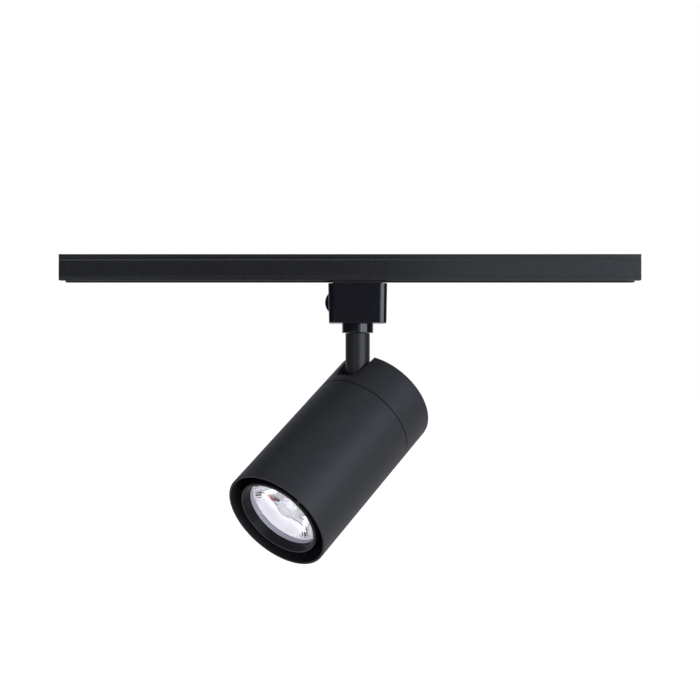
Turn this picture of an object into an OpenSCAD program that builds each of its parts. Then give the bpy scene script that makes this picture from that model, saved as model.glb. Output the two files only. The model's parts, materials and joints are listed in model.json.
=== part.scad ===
// Track spotlight: a cylinder head on a stem, hung from an adapter that slides and locks in a
// length of lighting track.
// Millimetres. The origin is the centre of the track's ceiling face, +X along the track, +Z up.
// The head is modelled in its own frame: Z runs along its axis from the rear face to the front
// rim, and +X points to the side that carries the slot for the stem.

/* [Track] */
// Length of the piece of track
track_len = 420; // [300:10:2000]
// Width of the track over its side walls
track_w = 35; // [33:0.5:44]
// Height of the track
track_h = 18.8; // [18:0.1:24]
// Thickness of the ceiling web
web_t = 1.8; // [1.4:0.1:2.4]
// Thickness of the side walls
wall_t = 1.5; // [1.2:0.1:2]
// Thickness of the two lips that carry the adapter
lip_t = 1.5; // [1.2:0.1:2]
// Width of the mouth between the lips
mouth_w = 19; // [17:0.5:21]
// Height of the bead along the top edge
top_bead_h = 2.1; // [1.5:0.1:3]
// Height of the groove under the bead
groove_h = 1.4; // [0.8:0.1:2]
// Depth of that groove
groove_d = 0.7; // [0.3:0.1:0.9]
// Height of the stepped band along the bottom edge
step_h = 1.5; // [1:0.1:2]
// Radius of the ceiling screw holes
ceiling_hole_r = 2.25; // [1.8:0.05:3]
// Distance between the two ceiling screw holes
ceiling_hole_pitch = 300; // [100:10:1800]

/* [Insulators and conductors] */
// How far each insulating strip stands in from the side wall
liner_t = 3.4; // [3:0.1:5]
// Height of each insulating strip
liner_h = 12.4; // [11:0.1:14]
// Height of a conductor bar
bar_h = 3.2; // [2.4:0.1:4]
// Thickness of a conductor bar
bar_t = 1.6; // [1:0.1:2]
// Height of the opening that a contact reaches the bar through
bar_mouth_h = 2.4; // [2:0.1:3]
// Distance from the ceiling face to the middle of the bars
bar_drop = 8; // [6:0.1:10]

/* [Adapter] */
// Place of the stem along the track, from the middle of the track
adapter_x = 5.6; // [-150:0.1:150]
// Length of the adapter block at its top
block_len = 42.8; // [40:0.1:60]
// Depth of the adapter block
block_w = 32; // [28:0.5:44]
// Height of the adapter block
block_h = 28.8; // [28:0.1:40]
// Gap between the track and the adapter block
block_gap = 1.9; // [0.5:0.1:4]
// How much each end leans in from top to bottom
block_draft = 0.52; // [0:0.01:1.5]
// Radius of the block's upright corners
block_corner_r = 5.5; // [2:0.1:8]
// Wall thickness of the adapter shells
shell_t = 2; // [1.6:0.1:3]
// Thickness of the block's top plate
top_plate_t = 1.6; // [1.2:0.1:3]

/* [Track lock] */
// Radius of the knurled thumb wheel
wheel_r = 10; // [9:0.1:10.5]
// Thickness of the thumb wheel
wheel_t = 4.4; // [3:0.1:6]
// How far the wheel stands out of the adapter's end
wheel_out = 2.5; // [1:0.1:3]
// Distance from the top of the block to the wheel's axle
wheel_drop = 13.55; // [12:0.05:16]
// Number of knurl notches round the wheel
knurl_count = 40; // [20:1:60]
// Depth of a knurl notch
knurl_d = 0.35; // [0.2:0.05:0.6]
// Radius of the wheel's axle
axle_r = 1.5; // [1.2:0.1:2]
// Teeth on the pinion beside the wheel
pinion_teeth = 8; // [8:1:10]
// Size of the pinion and rack teeth: pitch diameter per tooth
tooth_module = 1; // [0.9:0.05:1.1]
// Width of the pinion and the rack along the axle
pinion_t = 4.2; // [3:0.1:5]
// Thickness of the lock plunger behind its rack teeth
plunger_t = 6; // [4:0.1:7]
// How far the plunger drops when the adapter is unlocked
plunger_travel = 3; // [2:0.1:3]

/* [Swivel and stem] */
// Outer diameter of the collar under the adapter
collar_d = 22.8; // [20:0.1:26]
// Height of the collar
collar_h = 7; // [4:0.1:10]
// Diameter of the stem
stem_d = 17.8; // [16:0.1:18.2]
// Diameter of the spigot that turns in the collar
spigot_d = 12; // [11:0.1:14]
// Diameter of the wire passage down the stem
wire_bore_d = 8.6; // [6:0.1:9]
// Distance from the underside of the collar to the tilt pin
pin_drop = 35; // [30:0.5:80]
// Radius of the tilt pin
pin_r = 2.5; // [2:0.1:3]
// Angle of the head round the stem, from the track's -X end towards the -Y side
pan_rest = 48.2; // [-170:0.1:170]
// Angle of the head from straight down
tilt_rest = 53.7; // [0:0.1:90]

/* [Head] */
// Outer diameter of the head
head_d = 80; // [76:0.5:100]
// Length of the head from its rear face to its front rim
head_len = 140; // [132:1:200]
// Length of the rear cap behind the seam
cap_len = 31; // [29:0.5:40]
// Width of the seam groove between cap and tube
seam_w = 0.7; // [0.4:0.1:1]
// Wall thickness of the rear cap
cap_wall = 2.8; // [2.4:0.1:4]
// Thickness of the rear cap's end wall
cap_end_t = 3; // [2:0.1:5]
// Radius of the edge round the rear face
cap_edge_r = 1; // [0.3:0.1:2]
// Wall thickness of the front tube
tube_wall = 1.6; // [1.2:0.1:1.8]
// Distance from the seam back to the tilt pin
pin_to_seam = 16.4; // [15.5:0.1:20]
// How deep the round end of the stem sits under the side of the head
knuckle_cover = 3.9; // [2:0.1:7]
// Gap between the stem and the slot's side at the rear face
slot_gap_mouth = 3.2; // [2.5:0.1:4]
// Gap between the stem and the slot's side at the closed end, before the corners
slot_gap_end = 1.5; // [1.1:0.1:3]
// Radius of the corners at the slot's closed end
slot_corner_r = 7; // [3:0.1:7.5]
// Wall thickness of the pocket behind the slot
pocket_wall = 2.2; // [1.8:0.1:3]

/* [Light engine] */
// Width of the dark gap between the front tube and the ring in front of the lens
ring_gap = 7; // [4:0.1:9]
// Distance of that ring behind the front rim
ring_back = 2; // [1:0.1:6]
// Width of the ring's front lip
ring_lip = 0.8; // [0.5:0.1:1.5]
// Width of the sloping band between the ring's edge and the lens
lens_margin = 3.6; // [3:0.1:6]
// Distance of the lens behind the ring's front
lens_back = 6.6; // [4:0.1:12]
// Thickness of the lens at its edge
lens_flange_t = 2; // [1.5:0.1:3]
// Depth of the lens from its front face to its small end
lens_depth = 23.3; // [18:0.1:26]
// Radius of the lens at its small end
lens_small_r = 9.5; // [9:0.1:12]
// Number of spokes that hold the ring in the tube
spoke_count = 3; // [3:1:6]
// Width of a spoke
spoke_w = 2; // [1.5:0.1:4]
// Number of cooling fins on the heat sink
fin_count = 18; // [12:1:24]
// Thickness of a cooling fin
fin_t = 1.6; // [1.2:0.1:2]
// Radius of the light emitting face
emitter_r = 7; // [5:0.1:8]

/* [Hidden] */
$fn = 72;
eps = 0.01;
cut = 1;                 // how far a cutting shape runs past the face it cuts
touch = 0.1;             // gap between pieces that are pushed or clamped together
run_gap = 0.05;          // radial clearance of a shaft in its bore
clear = 0.3;             // gap between pieces that move past each other
edge_c = 0.4;            // chamfer on small outer edges

// track
track_half = track_w / 2;
face_half = track_half - 0.2;                  // the flat between the two beads
low_bead_h = 1.4;
lip_top = -track_h + lip_t;
inner_half = track_half - groove_d - wall_t;
liner_half = inner_half - liner_t;             // inner face of an insulating strip
bar_back = liner_half + 0.4 + bar_t;           // the side of a bar that faces the wall
ledge_t = 0.8;
ledge_out = 1.2;

// adapter
block_top = -track_h - block_gap;
block_bottom = block_top - block_h;
plate_under = block_top - top_plate_t;
floor_top = block_bottom + shell_t;
cavity_len = block_len - 2 * (shell_t + block_draft);
cavity_w = block_w - 2 * shell_t;
carrier_base_end = 0.8;
carrier_base_gap = 0.08;
carrier_len = cavity_len - 2 * (carrier_base_end + carrier_base_gap);
carrier_half = mouth_w / 2 - clear;
carrier_top = -web_t - 2.9;
lug_half = liner_half - 0.4 + clear;
lug_h = 1.8;
carrier_base_t = 1.4;
carrier_base_half = cavity_w / 2 - 2;
screw_r = 1;
screw_head_r = 1.9;
screw_head_t = 1.3;
boss_r = 1.8;

// contacts
contact_x = 0.8;         // where the contacts start along the carrier
contact_len = 13;
contact_h = 2;
contact_tail_w = 3;
leaf_t = 0.5;
tail_t = 0.8;
leaf_root_y = carrier_half - 2;

// thumb wheel, pinion and plunger
wheel_x = -block_len / 2 - wheel_out + wheel_r + block_draft / 2 - 0.25;
wheel_z = block_top - wheel_drop;
pinion_y0 = wheel_t / 2;
pitch_r = pinion_teeth * tooth_module / 2;
tooth_pitch = PI * tooth_module;
tooth_tip_r = pitch_r + 0.9 * tooth_module;
tooth_root_r = pitch_r - 1.2 * tooth_module;
tooth_half = 0.27 * tooth_pitch * 0.68;        // half a tooth's thickness at the pitch line
rack_x = wheel_x + pitch_r;
rack_root_x = rack_x + 1.2 * tooth_module;
rack_tip_x = rack_x - 0.9 * tooth_module;
rack_teeth = 5;
plunger_y0 = pinion_y0 + 0.3;
plunger_w = pinion_t - 0.6;
plunger_top = -web_t - clear;

// swivel
collar_bottom = block_bottom - collar_h;
stem_top = collar_bottom - 0.2;
pin_z = collar_bottom - pin_drop;
collar_seat_r = spigot_d / 2 + 2;
washer_t = 0.5;
nut_t = 1.8;
nut_r = 8.5;
spigot_top = floor_top + touch + washer_t + nut_t + 0.2;
plunger_bottom = spigot_top + plunger_travel + clear;   // clears the swivel when it is down
stop_r = 10;             // where the swivel's stop pin stands
stop_pin_r = 0.7;
stop_tab_w = 0.8;

// head
head_r = head_d / 2;
tube_in_r = head_r - tube_wall;
spigot_out_r = tube_in_r - touch;
spigot_len = 6;
spigot_in_r = spigot_out_r - 2.1;
cap_in_r = head_r - cap_wall;
cap_front = cap_len - seam_w / 2;
tube_rear = cap_len + seam_w / 2;
knuckle_r = stem_d / 2;
knuckle_gap = 1.1;       // room between the stem's round end and the slot's bottom and end
pin_x = head_r - knuckle_r - knuckle_cover;
pin_from_rear = cap_len - pin_to_seam;
slot_len = pin_from_rear + knuckle_r + knuckle_gap;
slot_half_mouth = knuckle_r + slot_gap_mouth;
slot_half_end = knuckle_r + slot_gap_end;
pocket_x = pin_x - knuckle_r - knuckle_gap;
knuckle_flat = knuckle_r - 1.5;
knuckle_flat_r = 6.6;
cheek_face = knuckle_r + clear;
cheek_r = 6;
cheek_out = slot_half_mouth + pocket_wall - 0.3;
slot_slope = (slot_half_mouth - slot_half_end) / slot_len;
slot_angle = atan(slot_slope);
slot_corner_z = slot_len - slot_corner_r;
slot_corner_y = slot_half_mouth - slot_slope * slot_corner_z - slot_corner_r / cos(slot_angle);
pin_head_r = 4.4;
pin_head_t = 2.6;
pin_nut_t = 3.6;
post_ring_r = cap_in_r - 6.2;
post_r = 3.5;
post_angles = [60, 180, 300];
bulkhead_t = 2;
bulkhead_z = cap_front + 3.4;
bulkhead_front = bulkhead_z + bulkhead_t;
m3_r = 1.5;
m3_head_r = 2.75;
m3_head_t = 2;
rod_ring_r = tube_in_r - 5.4;
rod_r = 2.2;
rod_angles = [0, 120, 240];

// light engine
ring_r = tube_in_r - ring_gap;
lens_show_r = ring_r - lens_margin;
ring_front = head_len - ring_back;
lens_front = ring_front - lens_back;
lens_seat = lens_front - lens_flange_t;
lens_flange_r = ring_r - 2.1;
holder_out_r = ring_r - 0.4;
holder_in_r = lens_flange_r + touch;
lens_small_z = lens_front - lens_depth;
sink_face = lens_small_z - 4;
pad_t = 0.5;
cob_t = 1.2;
cob_w = 19;
emitter_t = 0.6;
clip_t = 3.2;
clip_r = 18;
clip_screw_r = 14.2;
sink_plate_t = 6;
sink_core_r = 12;
sink_base_t = 3;
sink_base_z = bulkhead_front + 27.95;   // leaves the driver its room
fin_r = tube_in_r - 0.8;
tray_r = post_ring_r - m3_head_r - 0.75;   // inside the heads of the cap screws
tray_wall = 1.4;
tray_h = 8;
board_r = tray_r - tray_wall - touch;
board_t = 1.6;
board_z = bulkhead_front + 5;
lead_r = 0.9;
lead_ring_r = 3;
lamp_lead_y = 21.5;

// ---------- placing ----------

// The adapter's frame: the stem's axis, at the height of the ceiling face.
module at_adapter() {
    translate([adapter_x, 0, 0]) children();
}

// The stem's frame: the tilt pin's centre, with the pin along Y.
module at_stem() {
    translate([adapter_x, 0, pin_z]) rotate([0, 0, pan_rest]) children();
}

// The head's frame: the middle of the rear face, Z forward, +X to the slot.
module at_head() {
    at_stem() rotate([0, tilt_rest, 0])
        translate([pin_x, 0, pin_from_rear]) rotate([0, 180, 0]) children();
}

// ---------- shared shapes ----------

module ring(outer, inner, h) {
    difference() {
        cylinder(r = outer, h = h);
        translate([0, 0, -cut]) cylinder(r = inner, h = h + 2 * cut);
    }
}

// A cylinder with a chamfer at both ends.
module chamfered(r, h, c) {
    rotate_extrude() polygon([[0, 0], [r - c, 0], [r, c], [r, h - c], [r - c, h], [0, h]]);
}

// A bar with its length along X, centred in X, with its section drawn in Y and Z.
module along_x(len) {
    rotate([90, 0, 90]) linear_extrude(len, center = true) children();
}

// A cylinder along Y between two heights of y.
module along_y(r, y0, y1) {
    translate([0, y1, 0]) rotate([90, 0, 0]) cylinder(r = r, h = y1 - y0);
}

// A screw: shank, head and a cross recess, its head's underside at z = 0 and its tip below.
module screw(shank_r, shank_len, head_r, head_t) {
    difference() {
        union() {
            translate([0, 0, -shank_len]) cylinder(r = shank_r, h = shank_len + eps);
            chamfered(head_r, head_t, head_t / 4);
        }
        for (a = [0, 90])
            rotate([0, 0, a]) translate([-head_r * 0.55, -head_r * 0.13, head_t * 0.4])
                cube([head_r * 1.1, head_r * 0.26, head_t]);
    }
}

// Children at the same radius round Z, at each of the angles.
module round_z(radius, angles) {
    for (a = angles) rotate([0, 0, a]) translate([radius, 0, 0]) children();
}

// A section with its mirror image, as one closed outline.
function both_sides(half) =
    concat(half, [for (i = [len(half) - 1:-1:0]) [-half[i][0], half[i][1]]]);

// ---------- track ----------

module channel_section() {
    polygon(both_sides([
        [0, 0],
        [track_half - edge_c, 0],
        [track_half, -edge_c],
        [track_half, -top_bead_h],
        [track_half - groove_d, -top_bead_h],
        [track_half - groove_d, -top_bead_h - groove_h],
        [face_half, -top_bead_h - groove_h],
        [face_half, -track_h + step_h + low_bead_h],
        [track_half, -track_h + step_h + low_bead_h - 0.2],
        [track_half, -track_h + step_h],
        [track_half - edge_c, -track_h + step_h],
        [track_half - edge_c, -track_h],
        [mouth_w / 2, -track_h],
        [mouth_w / 2, lip_top],
        [inner_half, lip_top],
        [inner_half, -web_t - liner_h - ledge_t],
        [inner_half - ledge_out, -web_t - liner_h - ledge_t],
        [inner_half - ledge_out, -web_t - liner_h],
        [inner_half, -web_t - liner_h],
        [inner_half, -web_t],
        [0, -web_t]]));
}

module track_channel() {
    color([0.12, 0.12, 0.13]) difference() {
        along_x(track_len) channel_section();
        for (side = [-1, 1])
            translate([side * ceiling_hole_pitch / 2, 0, -web_t - cut])
                cylinder(r = ceiling_hole_r, h = web_t + 2 * cut);
    }
}

// An insulating strip for the +Y wall, with a pocket that grips its bar.
module liner() {
    along_x(track_len) difference() {
        translate([liner_half, -web_t - liner_h]) square([liner_t, liner_h]);
        translate([bar_back - bar_t - touch, -bar_drop - bar_h / 2 - touch])
            square([bar_t + 2 * touch, bar_h + 2 * touch]);
        translate([liner_half - cut, -bar_drop - bar_mouth_h / 2])
            square([cut + bar_t, bar_mouth_h]);
    }
}

module front_liner() {
    color([0.2, 0.2, 0.21]) mirror([0, 1, 0]) liner();
}

module rear_liner() {
    color([0.2, 0.2, 0.21]) liner();
}

module conductor() {
    along_x(track_len) translate([bar_back - bar_t, -bar_drop - bar_h / 2]) square([bar_t, bar_h]);
}

module front_conductor() {
    color([0.75, 0.42, 0.25]) mirror([0, 1, 0]) conductor();
}

module rear_conductor() {
    color([0.75, 0.42, 0.25]) conductor();
}

// ---------- adapter ----------

// A level slice of the block: a rounded rectangle, inset on all sides.
module block_slice(inset, z, h) {
    x = block_len / 2 - block_corner_r - inset;
    y = block_w / 2 - block_corner_r - inset / 2;
    for (sx = [-1, 1], sy = [-1, 1])
        translate([sx * x, sy * y, z]) cylinder(r = block_corner_r, h = h, $fn = 32);
}

module block_body() {
    foot = 0.5;
    hull() {
        block_slice(0, block_top - eps, eps);
        block_slice(block_draft, block_bottom + foot, eps);
        block_slice(block_draft + foot, block_bottom, eps);
    }
}

// Where the shell screws run along Y, as [x, z].
function shell_screw_places() = [
    [cavity_len / 2 - 1.6, plate_under - 4.6],
    [cavity_len / 2 - 1.6, floor_top + 3.2],
    [-cavity_len / 2 + 1.6, floor_top + 1.5]];

// The thumb wheel's place in the adapter, with its axle along Y.
module at_wheel() {
    at_adapter() translate([wheel_x, 0, wheel_z]) children();
}

module shell_half(side) {
    difference() {
        union() {
            difference() {
                intersection() {
                    block_body();
                    translate([-block_len, side < 0 ? -block_w : 0, block_bottom - cut])
                        cube([2 * block_len, block_w, block_h + 2 * cut]);
                }
                translate([-cavity_len / 2, -cavity_w / 2, floor_top])
                    cube([cavity_len, cavity_w, plate_under - floor_top]);
            }
            // bosses for the screws and for the wheel's axle
            for (p = shell_screw_places())
                translate([p[0], 0, p[1]])
                    along_y(boss_r, side < 0 ? -cavity_w / 2 - eps : 0, side < 0 ? 0 : cavity_w / 2 + eps);
            translate([wheel_x, 0, wheel_z])
                along_y(axle_r + 1.6, side < 0 ? -cavity_w / 2 - eps : cavity_w / 2 - 4,
                    side < 0 ? -cavity_w / 2 + 4 : cavity_w / 2 + eps);
        }
        // the opening in the top plate for the contact carrier
        translate([-carrier_len / 2 - touch, -carrier_half - touch, plate_under - cut])
            cube([carrier_len + 2 * touch, 2 * (carrier_half + touch), top_plate_t + 2 * cut]);
        // the window that the thumb wheel stands out of
        translate([-block_len / 2 - cut, -wheel_t / 2 - clear, wheel_z - wheel_r + 1])
            cube([shell_t + block_draft + 2 * cut, wheel_t + 2 * clear, 2 * wheel_r - 2]);
        // the hole for the collar's seat, and the axle's blind bore
        translate([0, 0, block_bottom - cut]) cylinder(r = collar_seat_r + run_gap, h = shell_t + 2 * cut);
        translate([wheel_x, 0, wheel_z])
            along_y(axle_r + run_gap, -cavity_w / 2 - 0.5, cavity_w / 2 + 0.5);
        for (p = shell_screw_places()) translate([p[0], 0, p[1]]) {
            along_y(screw_r + run_gap, -block_w / 2 + 4, block_w / 2 + cut);
            along_y(screw_head_r + touch, block_w / 2 - screw_head_t - 0.5, block_w / 2 + cut);
        }
    }
}

module adapter_front_shell() {
    color([0.09, 0.09, 0.1]) at_adapter() union() {
        shell_half(-1);
        // the pin that stops the swivel after almost a full turn
        rotate([0, 0, pan_rest + 180 + 90]) translate([stop_r, 0, floor_top - eps])
            cylinder(r = stop_pin_r, h = spigot_top - floor_top - 0.4);
    }
}

module adapter_rear_shell() {
    color([0.09, 0.09, 0.1]) at_adapter() shell_half(1);
}

module shell_screws() {
    len = block_w - screw_head_t - 0.5 - 4.5;
    color([0.55, 0.55, 0.57]) at_adapter()
        for (p = shell_screw_places())
            translate([p[0], block_w / 2 - screw_head_t - 0.5, p[1]]) rotate([-90, 0, 0])
                screw(screw_r, len, screw_head_r, screw_head_t);
}

// The moulded key that stands in the track's mouth and hangs on the two lips.
module contact_carrier() {
    color([0.16, 0.16, 0.17]) at_adapter() difference() {
        union() {
            translate([-carrier_len / 2, -carrier_half, plate_under - carrier_base_t])
                cube([carrier_len, 2 * carrier_half, carrier_top - plate_under + carrier_base_t]);
            translate([-carrier_len / 2 - carrier_base_end, -carrier_base_half,
                    plate_under - carrier_base_t])
                cube([carrier_len + 2 * carrier_base_end, 2 * carrier_base_half, carrier_base_t]);
            for (end = [-1, 1])
                translate([end * (carrier_len / 2 - 4) - 4, -lug_half, lip_top + 0.2])
                    cube([8, 2 * lug_half, lug_h]);
        }
        // the plunger's guide
        translate([rack_root_x - clear, plunger_y0 - clear, plate_under - carrier_base_t - cut])
            cube([plunger_t + 2 * clear, plunger_w + 2 * clear, carrier_top - plate_under + 10]);
        // room for the three contacts and their tails
        for (side = [-1, 1]) contact_room(side);
        translate([contact_x - 1.2, -contact_tail_w / 2 - touch, carrier_top - 3])
            cube([contact_len + 2.4, contact_tail_w + 2 * touch, 3 + cut]);
        translate([contact_x + contact_len / 2 - tail_t / 2 - touch, -contact_tail_w / 2 - touch,
                plate_under - carrier_base_t - cut])
            cube([tail_t + 2 * touch, contact_tail_w + 2 * touch, carrier_top - plate_under + 10]);
    }
}

module contact_room(side) {
    y0 = side < 0 ? -carrier_half - cut : leaf_root_y - 0.2;
    translate([contact_x - 0.6, y0, -bar_drop - contact_h / 2 - clear])
        cube([contact_len + 1.2, carrier_half + cut - leaf_root_y + 0.2, contact_h + 2 * clear]);
    translate([contact_x + contact_len - tail_t - touch,
            side < 0 ? -leaf_root_y - leaf_t - touch : leaf_root_y - touch,
            plate_under - carrier_base_t - cut])
        cube([tail_t + 2 * touch, leaf_t + 2 * touch, -bar_drop - plate_under + carrier_base_t + cut]);
}

// A bowed leaf that presses on a bar, for the +Y side, with its tail down into the adapter.
module side_contact() {
    bow = liner_half + 0.4 - 0.2;
    x0 = contact_x;
    x1 = contact_x + contact_len;
    translate([0, 0, -bar_drop - contact_h / 2]) linear_extrude(contact_h) polygon([
        [x1, leaf_root_y], [x1, leaf_root_y + leaf_t], [x0 + 8.6, bow], [x0 + 4.4, bow],
        [x0, leaf_root_y + leaf_t + 1.4], [x0, leaf_root_y + 1.4], [x0 + 4.6, bow - leaf_t],
        [x0 + 8.4, bow - leaf_t]]);
    translate([x1 - tail_t, leaf_root_y, plate_under - 4])
        cube([tail_t, leaf_t, -bar_drop - plate_under + 4]);
}

module line_contact() {
    color([0.78, 0.5, 0.3]) at_adapter() mirror([0, 1, 0]) side_contact();
}

module neutral_contact() {
    color([0.78, 0.5, 0.3]) at_adapter() side_contact();
}

// The earth leaf presses up on the bare web of the track.
module ground_contact() {
    x0 = contact_x - 0.6;
    x1 = contact_x + contact_len + 0.6;
    low = carrier_top - 2.8;
    high = -web_t - 0.2;
    color([0.78, 0.5, 0.3]) at_adapter() union() {
        translate([0, contact_tail_w / 2, 0]) rotate([90, 0, 0]) linear_extrude(contact_tail_w)
            polygon([[x0, low], [x1, low], [x1, low + leaf_t], [x0 + 3, low + leaf_t],
                [x0 + 9.5, high - leaf_t], [x0 + 11.5, high - leaf_t], [x1 - 0.4, high - 1.2],
                [x1 - 0.4, high - 0.6], [x0 + 11.7, high], [x0 + 9.3, high],
                [x0, low + leaf_t]]);
        translate([contact_x + contact_len / 2 - tail_t / 2, -contact_tail_w / 2, plate_under - 4])
            cube([tail_t, contact_tail_w, low - plate_under + 4 + eps]);
    }
}

// The three short leads from the contacts' tails to the top of the stem's passage.
module adapter_leads() {
    x_side = contact_x + contact_len - tail_t / 2;
    low_z = spigot_top + 0.6;
    color([0.3, 0.3, 0.32]) at_adapter()
        for (side = [-1, 0, 1]) {
            top = [side == 0 ? contact_x + contact_len / 2 : x_side,
                side * (leaf_root_y + leaf_t / 2), plate_under - 4 - lead_r - touch];
            low = [side == 0 ? 3 : 1.5, side * 2.4, low_z + lead_r];
            wire([top, top - [0, 0, 4], low + [0, 0, 5], low]);
        }
}

// A wire through some points, with round bends.
module wire(points) {
    for (i = [1:len(points) - 1]) hull() {
        translate(points[i - 1]) sphere(r = lead_r, $fn = 12);
        translate(points[i]) sphere(r = lead_r, $fn = 12);
    }
}

// ---------- track lock ----------

module wheel_axle() {
    color([0.6, 0.6, 0.62]) at_wheel() along_y(axle_r, -cavity_w / 2 - 0.3, cavity_w / 2 + 0.3);
}

// One tooth, pointing along +X, with its middle on the pitch radius.
module pinion_tooth() {
    flare = 0.36;
    polygon([
        [tooth_root_r - 0.4, -tooth_half - flare * 1.2], [pitch_r, -tooth_half],
        [tooth_tip_r, -tooth_half + flare * 0.9], [tooth_tip_r, tooth_half - flare * 0.9],
        [pitch_r, tooth_half], [tooth_root_r - 0.4, tooth_half + flare * 1.2]]);
}

module lock_wheel() {
    color([0.08, 0.08, 0.09]) at_wheel() difference() {
        union() {
            translate([0, wheel_t / 2, 0]) rotate([90, 0, 0]) chamfered(wheel_r, wheel_t, edge_c);
            translate([0, pinion_y0 + pinion_t, 0]) rotate([90, 0, 0])
                linear_extrude(pinion_t + eps) {
                    circle(r = tooth_root_r);
                    // a gap between two teeth faces the first tooth of the rack
                    for (i = [0:pinion_teeth - 1])
                        rotate([0, 0, (i + 0.5) * 360 / pinion_teeth]) pinion_tooth();
                }
        }
        along_y(axle_r + run_gap, -wheel_t, wheel_t + pinion_t);
        for (i = [0:knurl_count - 1])
            rotate([0, i * 360 / knurl_count, 0]) translate([wheel_r, -wheel_t, 0])
                rotate([0, 45, 0]) translate([-knurl_d, 0, -knurl_d])
                    cube([2 * knurl_d, 2 * wheel_t, 2 * knurl_d]);
    }
}

module rack_tooth() {
    polygon([
        [rack_root_x + eps, -tooth_half - 0.42], [rack_x, -tooth_half],
        [rack_tip_x, -tooth_half + 0.32], [rack_tip_x, tooth_half - 0.32],
        [rack_x, tooth_half], [rack_root_x + eps, tooth_half + 0.42]]);
}

module lock_plunger() {
    color([0.6, 0.6, 0.62]) at_adapter() union() {
        translate([rack_root_x, plunger_y0, plunger_bottom])
            cube([plunger_t, plunger_w, plunger_top - plunger_bottom]);
        for (i = [0:rack_teeth - 1])
            translate([0, plunger_y0 + plunger_w, wheel_z + (i - 1) * tooth_pitch]) rotate([90, 0, 0])
                linear_extrude(plunger_w) rack_tooth();
    }
}

// ---------- swivel and stem ----------

module stem_collar() {
    color([0.1, 0.1, 0.11]) at_adapter() difference() {
        union() {
            translate([0, 0, collar_bottom]) chamfered(collar_d / 2, collar_h, edge_c);
            translate([0, 0, block_bottom - eps]) cylinder(r = collar_seat_r, h = shell_t + eps);
        }
        translate([0, 0, collar_bottom - cut])
            cylinder(r = spigot_d / 2 + run_gap, h = collar_h + shell_t + 2 * cut);
    }
}

module stem_tube() {
    bore_end = pin_r + run_gap + 4;
    color([0.13, 0.13, 0.14]) at_stem() difference() {
        // one turned piece: the round end about the tilt pin, the stem and the spigot
        rotate_extrude() {
            intersection() {
                circle(r = knuckle_r);
                translate([0, -stem_d]) square([stem_d, stem_d]);
            }
            translate([0, -eps]) square([knuckle_r, stem_top - pin_z + eps]);
            translate([0, stem_top - pin_z - cut]) square([spigot_d / 2, spigot_top - stem_top + cut]);
        }
        translate([0, 0, bore_end]) cylinder(r = wire_bore_d / 2, h = spigot_top - pin_z);
        along_y(pin_r + run_gap, -stem_d, stem_d);
        for (side = [-1, 1])
            along_y(knuckle_flat_r, side < 0 ? -stem_d : knuckle_flat, side < 0 ? -knuckle_flat : stem_d);
        // the window that the wires leave by, on the side away from the beam
        translate([0, 0, bore_end]) rotate([0, 90, 0]) cylinder(r = 2.4, h = stem_d);
    }
}

module swivel_washer() {
    color([0.62, 0.62, 0.64]) at_adapter() translate([0, 0, floor_top + touch])
        ring(nut_r, spigot_d / 2 + run_gap, washer_t);
}

module swivel_nut() {
    z0 = floor_top + touch + washer_t;
    color([0.62, 0.62, 0.64]) at_adapter() rotate([0, 0, pan_rest]) union() {
        translate([0, 0, z0]) difference() {
            cylinder(r = nut_r, h = nut_t, $fn = 6);
            translate([0, 0, -cut]) cylinder(r = spigot_d / 2 + run_gap, h = nut_t + 2 * cut);
        }
        translate([-stop_tab_w / 2, nut_r * cos(30) - 1, z0])
            cube([stop_tab_w, stop_r + stop_pin_r - nut_r * cos(30) + 1, nut_t]);
    }
}

module stem_leads() {
    low = pin_r + run_gap + 6.5;
    color([0.3, 0.3, 0.32]) at_stem()
        for (a = [0, 120, 240])
            rotate([0, 0, a]) translate([lead_ring_r, 0, low])
                cylinder(r = lead_r, h = spigot_top - pin_z - low);
}

// ---------- head ----------

// The slot's outline: Z along the head in the first number, Y across it in the second.
module slot_outline() {
    steps = 8;
    mouth_y = slot_half_mouth + slot_slope * cut;
    corner = [for (i = [0:steps]) let(t = slot_angle + (90 - slot_angle) * i / steps)
        [slot_corner_z + slot_corner_r * sin(t), slot_corner_y + slot_corner_r * cos(t)]];
    polygon(concat(
        [[-cut, mouth_y]], corner,
        [for (i = [steps:-1:0]) [corner[i][0], -corner[i][1]]], [[-cut, -mouth_y]]));
}

// A shape drawn in the head's Z and Y, with its thickness along X from x0 to x1.
module across_x(x0, x1) {
    translate([x1, 0, 0]) rotate([0, -90, 0]) linear_extrude(x1 - x0) children();
}

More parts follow.
